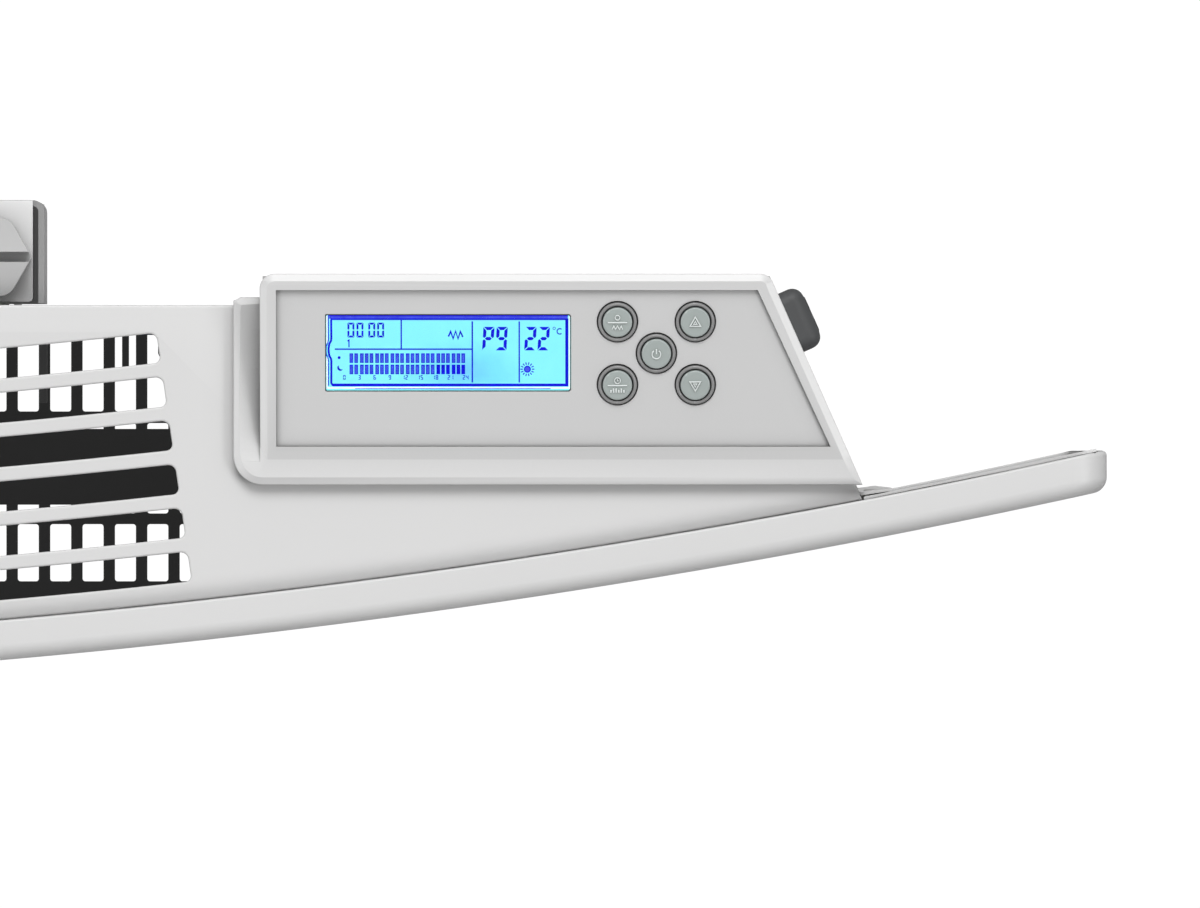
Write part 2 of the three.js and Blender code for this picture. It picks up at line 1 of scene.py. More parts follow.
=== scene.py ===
import math
import bmesh
import bpy
from mathutils import Matrix, Vector
from mathutils.geometry import tessellate_polygon

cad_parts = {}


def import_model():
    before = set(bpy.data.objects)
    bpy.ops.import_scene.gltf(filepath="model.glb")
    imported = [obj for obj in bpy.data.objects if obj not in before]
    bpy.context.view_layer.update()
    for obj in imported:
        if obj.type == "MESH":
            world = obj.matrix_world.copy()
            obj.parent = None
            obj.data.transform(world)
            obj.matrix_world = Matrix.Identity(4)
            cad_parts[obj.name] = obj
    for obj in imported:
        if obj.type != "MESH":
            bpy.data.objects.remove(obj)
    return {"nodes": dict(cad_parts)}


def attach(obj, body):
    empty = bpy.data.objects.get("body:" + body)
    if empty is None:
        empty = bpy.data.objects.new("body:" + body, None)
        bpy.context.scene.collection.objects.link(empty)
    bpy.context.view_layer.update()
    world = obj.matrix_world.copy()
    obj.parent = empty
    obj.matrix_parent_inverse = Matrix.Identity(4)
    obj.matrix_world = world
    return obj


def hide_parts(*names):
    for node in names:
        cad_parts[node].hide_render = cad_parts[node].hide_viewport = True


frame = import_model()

for spare in ("Cube", "Light", "Camera"):
    if spare in bpy.data.objects:
        bpy.data.objects.remove(bpy.data.objects[spare])
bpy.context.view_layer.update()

# ------------------------------------------------------------------ dimensions
# Millimetres, in the frame of the CAD model: X along the heater, the wall at
# Y = 0, the front towards -Y. Everything is scaled to metres when it is made.
PANEL_W, PANEL_H, PANEL_R, ARC_Y, FOLD, SHEET = 740.0, 450.0, 1709.4, 1610.5, 8.0, 1.2
WALL_GAP, SIDE_X0, SIDE_SLOPE, SIDE_X1 = 21.2, 304.2, 0.43, 320.9
TOP_Z, BOT_Z = 218.5, -218.5
PLATE_R = PANEL_R - FOLD - 0.3
SLOT_R = [1647.1, 1655.95, 1664.8, 1673.7, 1682.55, 1691.4]
SLOT_W = 6.0
SLOT_GROUPS = [(None, -66.0), (-58.0, 58.0), (66.0, None)]
SLOT_END = (179.3, -27.1, 186.4, -77.0)
GRILLE_PITCH, GRILLE_OPEN = 6.92, 4.47
GRILLE_ROWS = [(-42.0, -23.6, 205.0), (-63.8, -44.5, 205.0), (-78.3, -66.1, 190.0)]
TILT_A = math.radians(14.0)
TILT, SIN_A, COS_A = math.tan(TILT_A), math.sin(TILT_A), math.cos(TILT_A)
FACE_Y, FLANGE_Z0, FLANGE_Z1 = -52.2, 218.8, 221.5
FASCIA_TOP, FASCIA_T = -0.9, 1.2
BUTTONS = {"mode": (271.8, -24.6), "up": (287.4, -24.6), "power": (279.6, -30.9),
           "program": (271.8, -37.2), "down": (287.4, -37.2)}
SWITCH_AT, SWITCH_A = Vector((306.6, -24.8, 209.5)), math.atan(0.446)
LOCK = (145.0, -11.5)


def arc_y(radius, x):
    return ARC_Y - math.sqrt(radius * radius - x * x)


def arc(radius, x0, x1, n):
    return [(x0 + (x1 - x0) * i / n, arc_y(radius, x0 + (x1 - x0) * i / n)) for i in range(n + 1)]


def side_x(y):
    return 303.9 + (-18.85 - y) * 0.446


def face_z(y):
    return FLANGE_Z1 + (y - FACE_Y) * TILT


def on_face(x, y, w):
    """A point at plan (x, y) on the fascia's level, lifted to height w along the face's normal."""
    u = (y - FACE_Y + FASCIA_TOP * SIN_A) / COS_A
    return (x, FACE_Y + u * COS_A - w * SIN_A, FLANGE_Z1 + u * SIN_A + w * COS_A)


# ---------------------------------------------------------------- mesh helpers
def rounded(pts, seg=8):
    """Closed outline with rounded corners: points are (x, y) or (x, y, radius)."""
    out, n = [], len(pts)
    for i, p in enumerate(pts):
        r = p[2] if len(p) > 2 else 0
        if not r:
            out.append((p[0], p[1]))
            continue
        a, b = pts[i - 1], pts[(i + 1) % n]
        c = Vector((p[0], p[1]))
        u, w = (Vector((a[0], a[1])) - c).normalized(), (Vector((b[0], b[1])) - c).normalized()
        half = math.acos(max(-1, min(1, u.dot(w)))) / 2
        s, e = c + u * (r / math.tan(half)), c + w * (r / math.tan(half))
        m = c + (u + w).normalized() * (r / math.sin(half))
        a0, a1 = math.atan2(s.y - m.y, s.x - m.x), math.atan2(e.y - m.y, e.x - m.x)
        while a1 - a0 > math.pi:
            a1 -= 2 * math.pi
        while a1 - a0 < -math.pi:
            a1 += 2 * math.pi
        for k in range(seg + 1):
            q = a0 + (a1 - a0) * k / seg
            out.append((m.x + r * math.cos(q), m.y + r * math.sin(q)))
    return clean(out)


def clean(loop, tol=1e-4):
    out = []
    for p in loop:
        if not out or math.hypot(p[0] - out[-1][0], p[1] - out[-1][1]) > tol:
            out.append((p[0], p[1]))
    if math.hypot(out[0][0] - out[-1][0], out[0][1] - out[-1][1]) <= tol:
        out.pop()
    return out


def rect(x0, x1, y0, y1, r=0.0, seg=6):
    return rounded([(x0, y0, r), (x1, y0, r), (x1, y1, r), (x0, y1, r)], seg)


def disc(cx, cy, r, n=48, ky=1.0):
    return [(cx + r * math.cos(2 * math.pi * i / n), cy + ky * r * math.sin(2 * math.pi * i / n)) for i in range(n)]


def area(loop):
    return sum(loop[i - 1][0] * loop[i][1] - loop[i][0] * loop[i - 1][1] for i in range(len(loop))) / 2


def ccw(loop):
    return loop if area(loop) > 0 else loop[::-1]


def shift(loop, d):
    """The outline moved to its left by d: inwards for a counter-clockwise loop, outwards for a clockwise one."""
    if abs(d) < 1e-9:
        return list(loop)
    out, n = [], len(loop)
    for i in range(n):
        p, a, b = Vector(loop[i]), Vector(loop[i - 1]), Vector(loop[(i + 1) % n])
        u, w = (p - a).normalized(), (b - p).normalized()
        n0, n1 = Vector((-u.y, u.x)), Vector((-w.y, w.x))
        m = n0 + n1
        k = d / max(0.25, 1 + n0.dot(n1))
        out.append((p.x + m.x * k, p.y + m.y * k))
    return out


def bulge(r, z, up, n=3):
    """Profile steps (inset, z) of a rounded edge of radius r that ends at height z."""
    steps = []
    for i in range(n + 1):
        q = math.pi / 2 * i / n
        steps.append((r * (1 - math.cos(q)), z - r + r * math.sin(q)) if up else
                     (r * (1 - math.cos(q)), z + r - r * math.sin(q)))
    return steps if up else steps[::-1]


def edge_profile(z0, z1, r0, r1, n=3, flat=0.12):
    """Side profile of a plate from its lower face to its upper face with rounded edges."""
    low = bulge(r0, z0, False, n) if r0 else [(0, z0)]
    high = bulge(r1, z1, True, n) if r1 else [(0, z1)]
    return [(r0 + flat, z0)] + low + high + [(r1 + flat, z1)]


def solid(outer, holes, profile, hole_profile=None):
    """Vertices and faces of one closed body: outlines swept through a profile of (inset, z), capped at both ends."""
    hole_profile = hole_profile or profile
    loops = [(ccw(outer), profile)] + [(ccw(h)[::-1], hole_profile) for h in holes]
    verts, faces, ends = [], [], ([], [])
    for loop, prof in loops:
        n, rings = len(loop), []
        for d, z in prof:
            rings.append(len(verts))
            verts += [(x, y, z) for x, y in shift(loop, d)]
        for a, b in zip(rings, rings[1:]):
            faces += [(a + i, a + (i + 1) % n, b + (i + 1) % n, b + i) for i in range(n)]
        ends[0].append((rings[0], n))
        ends[1].append((rings[-1], n))
    for k, end in enumerate(ends):
        index, polys = [], []
        for start, n in end:
            index += range(start, start + n)
            polys.append([Vector((verts[i][0], verts[i][1], 0)) for i in range(start, start + n)])
        for t in tessellate_polygon(polys):
            a, b, c = (index[i] for i in t)
            s = ((verts[b][0] - verts[a][0]) * (verts[c][1] - verts[a][1])
                 - (verts[c][0] - verts[a][0]) * (verts[b][1] - verts[a][1]))
            if abs(s) < 1e-12:
                continue
            faces.append((a, b, c) if (s > 0) == (k == 1) else (a, c, b))
    return verts, faces


def lathe(profile, n=64, ky=1.0):
    """A turned body about Z from (radius, z) steps, first and last on the axis."""
    verts, faces, rings = [], [], []
    for r, z in profile:
        rings.append((len(verts), r < 1e-6))
        if r < 1e-6:
            verts.append((0, 0, z))
        else:
            verts += [(r * math.cos(2 * math.pi * i / n), ky * r * math.sin(2 * math.pi * i / n), z) for i in range(n)]
    for (a, pa), (b, pb) in zip(rings, rings[1:]):
        for i in range(n):
            j = (i + 1) % n
            if pa:
                faces.append((a, b + j, b + i))
            elif pb:
                faces.append((a + i, a + j, b))
            else:
                faces.append((a + i, a + j, b + j, b + i))
    return verts, faces


def ring_body(profile, n=64, ky=1.0):
    """A turned ring about Z from a closed loop of (radius, z) steps."""
    verts, faces, m = [], [], len(profile)
    for r, z in profile:
        verts += [(r * math.cos(2 * math.pi * i / n), ky * r * math.sin(2 * math.pi * i / n), z) for i in range(n)]
    for k in range(m):
        a, b = k * n, ((k + 1) % m) * n
        faces += [(a + i, a + (i + 1) % n, b + (i + 1) % n, b + i) for i in range(n)]
    return verts, faces


def join(*parts):
    verts, faces = [], []
    for v, f in parts:
        k = len(verts)
        verts += v
        faces += [tuple(i + k for i in t) for t in f]
    return verts, faces


def warp(part, fn):
    return [tuple(fn(*v)) for v in part[0]], part[1]


def raw(name, part):
    me = bpy.data.meshes.new(name)
    me.from_pydata([(x / 1000, y / 1000, z / 1000) for x, y, z in part[0]], [], part[1])
    bm = bmesh.new()
    bm.from_mesh(me)
    bmesh.ops.remove_doubles(bm, verts=bm.verts, dist=2e-7)
    bmesh.ops.dissolve_degenerate(bm, edges=bm.edges, dist=1e-7)
    bmesh.ops.recalc_face_normals(bm, faces=bm.faces)
    bm.to_mesh(me)
    bm.free()
    return me


def smooth(me, angle=32):
    me.shade_smooth()
    me.set_sharp_from_angle(angle=math.radians(angle))


def piece(name, part, material, body="heater", stands_for=(), angle=32):
    me = part if isinstance(part, bpy.types.Mesh) else raw(name, part)
    me.name = name
    smooth(me, angle)
    me.materials.clear()
    me.materials.append(material)
    o = bpy.data.objects.new(name, me)
    bpy.context.scene.collection.objects.link(o)
    m = o.modifiers.new("flat_faces_stay_flat", "WEIGHTED_NORMAL")
    m.keep_sharp, m.weight = True, 50
    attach(o, body)
    if stands_for:
        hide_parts(*([stands_for] if isinstance(stands_for, str) else stands_for))
    return o


def boolean(base, *steps):
    """Mesh of base joined with or cut by other bodies: steps are ("+" or "-", part)."""
    me = raw("base", base)
    for op, part in steps:
        a, b = bpy.data.objects.new("a", me), bpy.data.objects.new("b", raw("b", part))
        for o in (a, b):
            bpy.context.scene.collection.objects.link(o)
        m = a.modifiers.new("cut", "BOOLEAN")
        m.operation, m.solver, m.object = ("UNION" if op == "+" else "DIFFERENCE"), "EXACT", b
        dg = bpy.context.evaluated_depsgraph_get()
        me = bpy.data.meshes.new_from_object(a.evaluated_get(dg))
        bpy.data.objects.remove(a)
        bpy.data.objects.remove(b)
    bm = bmesh.new()
    bm.from_mesh(me)
    bmesh.ops.remove_doubles(bm, verts=bm.verts, dist=2e-6)
    bmesh.ops.dissolve_degenerate(bm, edges=bm.edges, dist=1e-6)
    bmesh.ops.dissolve_limit(bm, angle_limit=math.radians(0.6), verts=bm.verts, edges=bm.edges)
    bm.to_mesh(me)
    bm.free()
    return me


def soften(me, width, segments=2, angle=30):
    """The mesh with its sharp edges rounded."""
    o = bpy.data.objects.new("soften", me)
    bpy.context.scene.collection.objects.link(o)
    m = o.modifiers.new("edge", "BEVEL")
    m.width, m.segments, m.limit_method, m.angle_limit = width / 1000, segments, "ANGLE", math.radians(angle)
    m.use_clamp_overlap = True
    m.miter_outer = "MITER_ARC"
    dg = bpy.context.evaluated_depsgraph_get()
    out = bpy.data.meshes.new_from_object(o.evaluated_get(dg))
    bpy.data.objects.remove(o)
    return out


def box(x0, x1, y0, y1, z0, z1, r=0.0):
    return solid(rect(min(x0, x1), max(x0, x1), y0, y1, r, 4), [], [(0, z0), (0, z1)])


def along_x(outline, x0, x1):
    """A body with outline (y, z), running along X."""
    part = solid(outline, [], [(0, x0), (0, x1)])
    return [(h, y, z) for y, z, h in part[0]], part[1]




# ------------------------------------------------------------------ materials
def material(name):
    m = bpy.data.materials.new(name)
    m.use_nodes = True
    t = m.node_tree
    return m, t.nodes, t.links, t.nodes["Principled BSDF"]


def coords(nodes, links, scale):
    tc = nodes.new("ShaderNodeTexCoord")
    mp = nodes.new("ShaderNodeMapping")
    mp.inputs["Scale"].default_value = scale if isinstance(scale, tuple) else (scale,) * 3
    links.new(tc.outputs["Object"], mp.inputs["Vector"])
    return mp.outputs["Vector"]


def noise(nodes, links, vector, scale, detail=3.0, rough=0.55):
    n = nodes.new("ShaderNodeTexNoise")
    n.inputs["Scale"].default_value = scale
    n.inputs["Detail"].default_value = detail
    n.inputs["Roughness"].default_value = rough
    links.new(vector, n.inputs["Vector"])
    return n.outputs["Fac"]


def ramp(nodes, links, fac, stops):
    r = nodes.new("ShaderNodeValToRGB")
    while len(r.color_ramp.elements) < len(stops):
        r.color_ramp.elements.new(0.5)
    for e, (pos, col) in zip(r.color_ramp.elements, stops):
        e.position = pos
        e.color = (*col, 1.0) if len(col) == 3 else col
    links.new(fac, r.inputs["Fac"])
    return r.outputs["Color"]


def bump(nodes, links, height, strength, distance, normal=None):
    b = nodes.new("ShaderNodeBump")
    b.inputs["Strength"].default_value = strength
    b.inputs["Distance"].default_value = distance
    links.new(height, b.inputs["Height"])
    if normal is not None:
        links.new(normal, b.inputs["Normal"])
    return b.outputs["Normal"]


def grey(v, warm=0.0):
    return (v * (1 + warm), v, v * (1 - warm))


def front_tone(nodes, links, col, tone):
    """Painted shade: the raised control face is darkened in colour towards its front edge, and so is the flange's front
    bevel, where they face away from the rear light.
    """
    sep = nodes.new("ShaderNodeSeparateXYZ")
    links.new(coords(nodes, links, 1.0), sep.inputs[0])
    x, y = sep.outputs["X"], sep.outputs["Y"]

    def calc(op, *values):
        n = nodes.new("ShaderNodeMath")
        n.operation = op
        for k, v in enumerate(values):
            if isinstance(v, float):
                n.inputs[k].default_value = v
            else:
                links.new(v, n.inputs[k])
        return n.outputs[0]

    def between(value, start, end):
        n = nodes.new("ShaderNodeMapRange")
        links.new(value, n.inputs["Value"])
        n.inputs["From Min"].default_value, n.inputs["From Max"].default_value = start, end
        return n.outputs["Result"]

    fac = calc("MULTIPLY", between(y, -0.030, FACE_Y / 1000), calc("GREATER_THAN", y, FACE_Y / 1000))
    fac = calc("MULTIPLY", fac, calc("GREATER_THAN", x, 0.2016))
    fac = calc("MULTIPLY", fac, calc("LESS_THAN", calc("MULTIPLY_ADD", y, 0.446, x), 0.29384))
    facing = nodes.new("ShaderNodeSeparateXYZ")
    links.new(nodes.new("ShaderNodeNewGeometry").outputs["Normal"], facing.inputs[0])
    bevel = calc("MULTIPLY", between(facing.outputs["Y"], -0.12, -0.30), calc("LESS_THAN", y, -0.0526))
    fac = calc("MAXIMUM", fac, bevel)
    mul = nodes.new("ShaderNodeMix")
    mul.data_type, mul.blend_type = "RGBA", "MULTIPLY"
    links.new(fac, mul.inputs["Factor"])
    links.new(col, mul.inputs[6])
    mul.inputs[7].default_value = (tone, tone, tone, 1.0)
    return mul.outputs[2]


def coated(name, base, rough, var=0.03, grain=900.0, grain_depth=0.00002, metallic=0.0, specular=0.5, edge=0.0,
           rough_var=0.05, peel=0.0, coat=0.0, shade=0.0, reach=0.012, glow=0.0, front=0.0):
    """Paint or moulded plastic: faint cloudy tone, fine surface grain, optional orange peel, and optional painted
    light: a painted highlight on convex edges, painted ambient-occlusion shade, painted front shade and a painted glow.
    """
    m, nodes, links, p = material(name)
    v = coords(nodes, links, 1.0)
    cloud = noise(nodes, links, v, 9.0, 4.0)
    fine = noise(nodes, links, v, grain, 2.0)
    lo = tuple(c * (1 - var) for c in base)
    hi = tuple(min(1.0, c * (1 + var)) for c in base)
    col = ramp(nodes, links, cloud, [(0.3, lo), (0.7, hi)])
    # painted highlight: convex edges, found by pointiness, are lightened in colour
    if edge:
        geo = nodes.new("ShaderNodeNewGeometry")
        painted_edge_highlight = ramp(nodes, links, geo.outputs["Pointiness"], [(0.52, (0, 0, 0)), (0.6, (1, 1, 1))])
        mix = nodes.new("ShaderNodeMix")
        mix.data_type = "RGBA"
        links.new(painted_edge_highlight, mix.inputs["Factor"])
        links.new(col, mix.inputs[6])
        mix.inputs[7].default_value = (*[min(1.0, c * (1 + edge)) for c in base], 1)
        col = mix.outputs[2]
    if shade:                                     # painted shade: the base colour is darkened by ambient occlusion in corners, creases and recesses
        ao = nodes.new("ShaderNodeAmbientOcclusion")
        ao.samples = 8
        ao.inputs["Distance"].default_value = reach
        dark = ramp(nodes, links, ao.outputs["AO"], [(0.25, (1 - shade,) * 3), (1.0, (1, 1, 1))])
        mul = nodes.new("ShaderNodeMix")
        mul.data_type, mul.blend_type = "RGBA", "MULTIPLY"
        mul.inputs["Factor"].default_value = 1.0
        links.new(col, mul.inputs[6])
        links.new(dark, mul.inputs[7])
        col = mul.outputs[2]
    # painted shade: the front of the raised control face and the flange's front bevel are darkened in colour
    if front:
        col = front_tone(nodes, links, col, front)
    if glow:                                      # painted light: a faint emission stands in for stray light inside a dark cavity
        links.new(ramp(nodes, links, cloud, [(0.3, (glow * 0.94,) * 3), (0.7, (glow * 1.06,) * 3)]), p.inputs["Emission Color"])
        p.inputs["Emission Strength"].default_value = 1.0
    links.new(col, p.inputs["Base Color"])
    r = ramp(nodes, links, cloud, [(0.25, (rough - rough_var,) * 3), (0.75, (rough + rough_var,) * 3)])
    links.new(r, p.inputs["Roughness"])
    nrm = None
    if peel:
        nrm = bump(nodes, links, noise(nodes, links, v, 260.0, 2.0), peel, 0.00006)
    nrm = bump(nodes, links, fine, 0.35, grain_depth, nrm)
    links.new(nrm, p.inputs["Normal"])
    p.inputs["Metallic"].default_value = metallic
    p.inputs["Specular IOR Level"].default_value = specular
    if coat:
        p.inputs["Coat Weight"].default_value = coat
        p.inputs["Coat Roughness"].default_value = 0.12
    return m


def glowing(name, dark, light, strength, scale=60.0, low=0.3, high=0.7, rough=0.25):
    m, nodes, links, p = material(name)
    v = coords(nodes, links, 1.0)
    n = noise(nodes, links, v, scale, 3.0)
    col = ramp(nodes, links, n, [(low, dark), (high, light)])
    links.new(col, p.inputs["Emission Color"])
    p.inputs["Emission Strength"].default_value = strength
    links.new(ramp(nodes, links, n, [(0.2, tuple(c * 0.3 for c in dark)), (0.8, tuple(c * 0.3 for c in light))]), p.inputs["Base Color"])
    p.inputs["Roughness"].default_value = rough
    return m


# shade and reach paint ambient-occlusion shade into a colour, front paints front shade, glow paints faint stray light
# as emission, edge paints a highlight on convex edges
M = {
    "white_steel": coated("white_powder_coat", grey(0.66, 0.002), 0.42, var=0.012, grain=2600.0, grain_depth=0.000012, peel=0.10, edge=0.04,
                          shade=0.16, reach=0.007, specular=0.35),
    # housing: painted ambient-occlusion shade and painted front shade (front=0.88) in its colour
    "housing": coated("white_moulded_plastic", grey(0.665, 0.001), 0.34, var=0.012, grain=3400.0, grain_depth=0.000010, edge=0.03,
                      shade=0.72, reach=0.0095, front=0.88),
    "fascia": coated("grey_textured_plastic", grey(0.622, 0.0), 0.5, var=0.015, grain=4200.0, grain_depth=0.00003, rough_var=0.04, shade=0.5, reach=0.004),
    "black_steel": coated("black_paint", (0.020, 0.020, 0.0205), 0.6, var=0.15, grain=1800.0, grain_depth=0.00003, edge=0.6, specular=0.3, glow=0.0190),
    # the same black paint as black_steel, a little paler and with a stronger painted glow standing in for stray light
    "strap": coated("black_paint_pale", (0.030, 0.030, 0.0305), 0.6, var=0.15, grain=1800.0, grain_depth=0.00003, edge=0.6, specular=0.3, glow=0.030),
    "black_aluminium": coated("black_anodised", (0.020, 0.020, 0.0205), 0.55, var=0.2, grain=2200.0, grain_depth=0.00002, edge=0.5, specular=0.3, glow=0.0194),
    "cap": coated("button_cap_plastic", (0.395, 0.440, 0.427), 0.42, var=0.05, grain=5200.0, grain_depth=0.00006, edge=0.25, shade=0.6, reach=0.0007),
    "mark": coated("button_symbol", (0.70, 0.74, 0.73), 0.36, var=0.03, grain=5200.0, grain_depth=0.00003, edge=0.1),
    "ring": coated("button_ring_plastic", grey(0.27, 0.0), 0.34, var=0.06, grain=3600.0, grain_depth=0.00002, edge=0.35, shade=0.85, reach=0.0022),
    "dark": coated("dark_moulded_plastic", (0.035, 0.036, 0.039), 0.48, var=0.1, grain=2600.0, grain_depth=0.00003, edge=0.4),
    "rubber": coated("boot_rubber", (0.066, 0.068, 0.070), 0.55, var=0.12, grain=2400.0, grain_depth=0.00006, edge=0.35, rough_var=0.08, specular=0.45),
    "ceramic": coated("ceramic_body", (0.72, 0.68, 0.58), 0.6, var=0.05, grain=900.0, grain_depth=0.00008, edge=0.1),
    "zinc": coated("zinc_plated_steel", (0.6, 0.6, 0.58), 0.34, var=0.08, grain=1500.0, grain_depth=0.00002, metallic=1.0, edge=0.15),
    # painted light: the bracket's glow lightens the shadowed gap beside the lock block
    "bracket": coated("grey_painted_steel", grey(0.262, 0.0), 0.4, var=0.04, grain=2000.0, grain_depth=0.00002, edge=0.25, peel=0.08, shade=0.3, reach=0.006, glow=0.045),
    "lock": coated("grey_moulded_plastic", grey(0.650, 0.0), 0.34, var=0.03, grain=3000.0, grain_depth=0.00002, edge=0.25, shade=0.58, reach=0.016, glow=0.012),
    "knob": coated("grey_knob_plastic", grey(0.420, 0.0), 0.34, var=0.03, grain=3000.0, grain_depth=0.00002, edge=0.35, shade=0.5, reach=0.006, glow=0.008),
    "board": coated("circuit_board", (0.03, 0.14, 0.06), 0.35, var=0.2, grain=700.0, grain_depth=0.00004, edge=0.3),
    "red": coated("red_sleeve", (0.32, 0.04, 0.03), 0.5, var=0.1, grain=1600.0, grain_depth=0.00003),
    "blue": coated("blue_sleeve", (0.03, 0.08, 0.26), 0.5, var=0.1, grain=1600.0, grain_depth=0.00003),
}


def lcd_glow():
    """Backlight seen through the display: pale cyan, deeper blue towards the lower middle."""
    m, nodes, links, p = material("display_backlight")
    tc = nodes.new("ShaderNodeTexCoord")
    mp = nodes.new("ShaderNodeMapping")
    mp.inputs["Location"].default_value = (-0.2410, 0.0345, 0.0)
    links.new(tc.outputs["Object"], mp.inputs["Vector"])
    sc = nodes.new("ShaderNodeVectorMath")
    sc.operation = "MULTIPLY"
    sc.inputs[1].default_value = (62.0, 120.0, 0.0)
    links.new(mp.outputs["Vector"], sc.inputs[0])
    ln = nodes.new("ShaderNodeVectorMath")
    ln.operation = "LENGTH"
    links.new(sc.outputs["Vector"], ln.inputs[0])
    n = noise(nodes, links, tc.outputs["Object"], 180.0, 3.0)
    add = nodes.new("ShaderNodeMath")
    add.operation = "MULTIPLY_ADD"
    links.new(n, add.inputs[0])
    add.inputs[1].default_value = 0.35
    links.new(ln.outputs["Value"], add.inputs[2])
    col = ramp(nodes, links, add.outputs["Value"], [(0.18, (0.17, 0.60, 1.0)), (0.55, (0.20, 0.80, 1.0)), (0.98, (0.26, 0.95, 1.0))])
    links.new(col, p.inputs["Emission Color"])
    p.inputs["Emission Strength"].default_value = 0.93
    links.new(ramp(nodes, links, n, [(0.3, (0.02, 0.07, 0.09)), (0.7, (0.03, 0.09, 0.11))]), p.inputs["Base Color"])
    p.inputs["Roughness"].default_value = 0.3
    return m


M["lcd"] = lcd_glow()
M["lcd_ink"] = glowing("display_ink", (0.0, 0.0, 0.52), (0.0, 0.002, 0.70), 0.95, 240.0)
M["lcd_ink_soft"] = glowing("display_ink_pale", (0.025, 0.035, 0.62), (0.06, 0.085, 0.76), 0.95, 420.0)
M["lcd_rim"] = glowing("display_rim", (0.70, 0.95, 1.0), (0.95, 1.0, 1.0), 0.95, 320.0)


def clear():
    m, nodes, links, p = material("clear_window")
    v = coords(nodes, links, 1.0)
    n = noise(nodes, links, v, 400.0, 2.0)
    links.new(ramp(nodes, links, n, [(0.3, (0.97, 0.99, 1.0)), (0.7, (1.0, 1.0, 1.0))]), p.inputs["Base Color"])
    links.new(ramp(nodes, links, n, [(0.3, (0.02,) * 3), (0.7, (0.06,) * 3)]), p.inputs["Roughness"])
    p.inputs["Transmission Weight"].default_value = 1.0
    p.inputs["IOR"].default_value = 1.08
    return m


M["clear"] = clear()


# ---------------------------------------------------------------- front panel
def front_panel():
    """Folded sheet: ruled along Z, rounded front edges, a rim folded back by 8 mm and its return inside."""
    w, h, rc = PANEL_W / 2, PANEL_H / 2, 7.0
    half = []                                    # upper half of the outline, from the right end to the left one
    for i in range(9):
        q = math.pi / 2 * i / 8
        half.append((w - rc + rc * math.cos(q), h - rc + rc * math.sin(q), math.cos(q), math.sin(q)))
    n = 96
    for i in range(1, n):
        half.append((w - rc - (2 * w - 2 * rc) * i / n, h, 0.0, 1.0))
    for i in range(9):
        q = math.pi / 2 + math.pi / 2 * i / 8
        half.append((-w + rc + rc * math.cos(q), h - rc + rc * math.sin(q), math.cos(q), math.sin(q)))
    loop = half + [(x, -z, nx, -nz) for x, z, nx, nz in half[::-1]]
    k = len(loop)
    steps = [("in", SHEET + 2.6, SHEET), ("in", SHEET + 0.8, SHEET + 0.8), ("in", SHEET, SHEET + 2.6), ("in", SHEET, FOLD - 0.25),
             ("in", SHEET - 0.3, FOLD)]
    steps += [("rear", q) for q in (0, 22.5, 45, 67.5, 90)]
    steps += [("front", q) for q in (0, 11.25, 22.5, 33.75, 45, 56.25, 67.5, 78.75, 90)]
    verts, faces = [], []
    for s in steps:
        for x, z, nx, nz in loop:
            if s[0] == "in":
                d, t = s[1], s[2]
            elif s[0] == "rear":
                r = math.hypot(1.2 * nx, 0.55 * nz)
                q = math.radians(s[1])
                d, t = r * (1 - math.sin(q)), FOLD - r * (1 - math.cos(q))
            else:
                r = math.hypot(2.5 * nx, 3.2 * nz)
                q = math.radians(s[1])
                d, t = r * (1 - math.cos(q)), r * (1 - math.sin(q))
            px, pz = x - nx * d, z - nz * d
            verts.append((px, arc_y(PANEL_R - t, px), pz))
    for a in range(len(steps) - 1):
        faces += [(a * k + i, a * k + (i + 1) % k, (a + 1) * k + (i + 1) % k, (a + 1) * k + i) for i in range(k)]
    m = len(half)
    for base in (0, (len(steps) - 1) * k):
        for i in range(m - 1):
            faces.append((base + i, base + i + 1, base + k - 2 - i, base + k - 1 - i))
    return verts, faces


piece("panel_skin", front_panel(), M["white_steel"], stands_for="front_panel", angle=40)


# ---------------------------------------------------------------- rear casing
def casing():
    b, t, k = -WALL_GAP, SHEET, 1.31
    xo = lambda y: SIDE_X0 + (b - y) * SIDE_SLOPE
    right = [(xo(b), b, 2.0), (xo(-58.8), -58.8, 0.5), (326.9, -57.85), (326.9, -58.45),
             (xo(-59.6) - k, -59.6, 1.2), (xo(b - t) - k, b - t, 0.8)]
    left = [(-p[0], *p[1:]) for p in right][::-1]
    z = TOP_Z - SHEET - 0.3
    base = solid(rounded(right + left, 6), [], [(0, -z), (0, z)])
    steps = [("-", solid(rect(283.4, 340, -39.2, 0), [], [(0, 197.4), (0, 240)]))]
    for s in (-1, 1):
        hx = s * 145.2
        steps.append(("-", tip(solid(rect(hx - 3.8, hx + 3.8, -164, -137.7, 1.2), [], [(0, -24), (0, -20)]))))
        a, c = sorted((s * (LOCK[0] - 18.8), s * (LOCK[0] + 5.4)))
        steps.append(("-", tip(solid(rect(a, c, 171, 181, 1.2), [], [(0, -24), (0, -20)]))))
        for zz in (-150, 150):
            steps.append(("-", along_y(lathe([(0, 0), (1.9, 0), (1.9, 2), (3.2, 3), (3.2, 6), (0, 6)], 32), s * 324.4, -61.4, zz)))
    steps.append(("-", tip(solid(disc(250, -190, 6.5, 40), [], [(0, -24), (0, -20)]))))
    return soften(boolean(base, *steps), 0.25, 2)


def along_y(part, x, y, z):
    """A part turned about Z, set with its axis along Y."""
    return [(x + a, y + c, z - b) for a, b, c in part[0]], part[1]


def tip(part):
    """Turns a body made along Z so that it runs along Y: outline (x, z), height y."""
    return [(x, z, y) for x, y, z in part[0]], [t[::-1] for t in part[1]]


piece("casing_shell", casing(), M["white_steel"], stands_for="rear_casing")

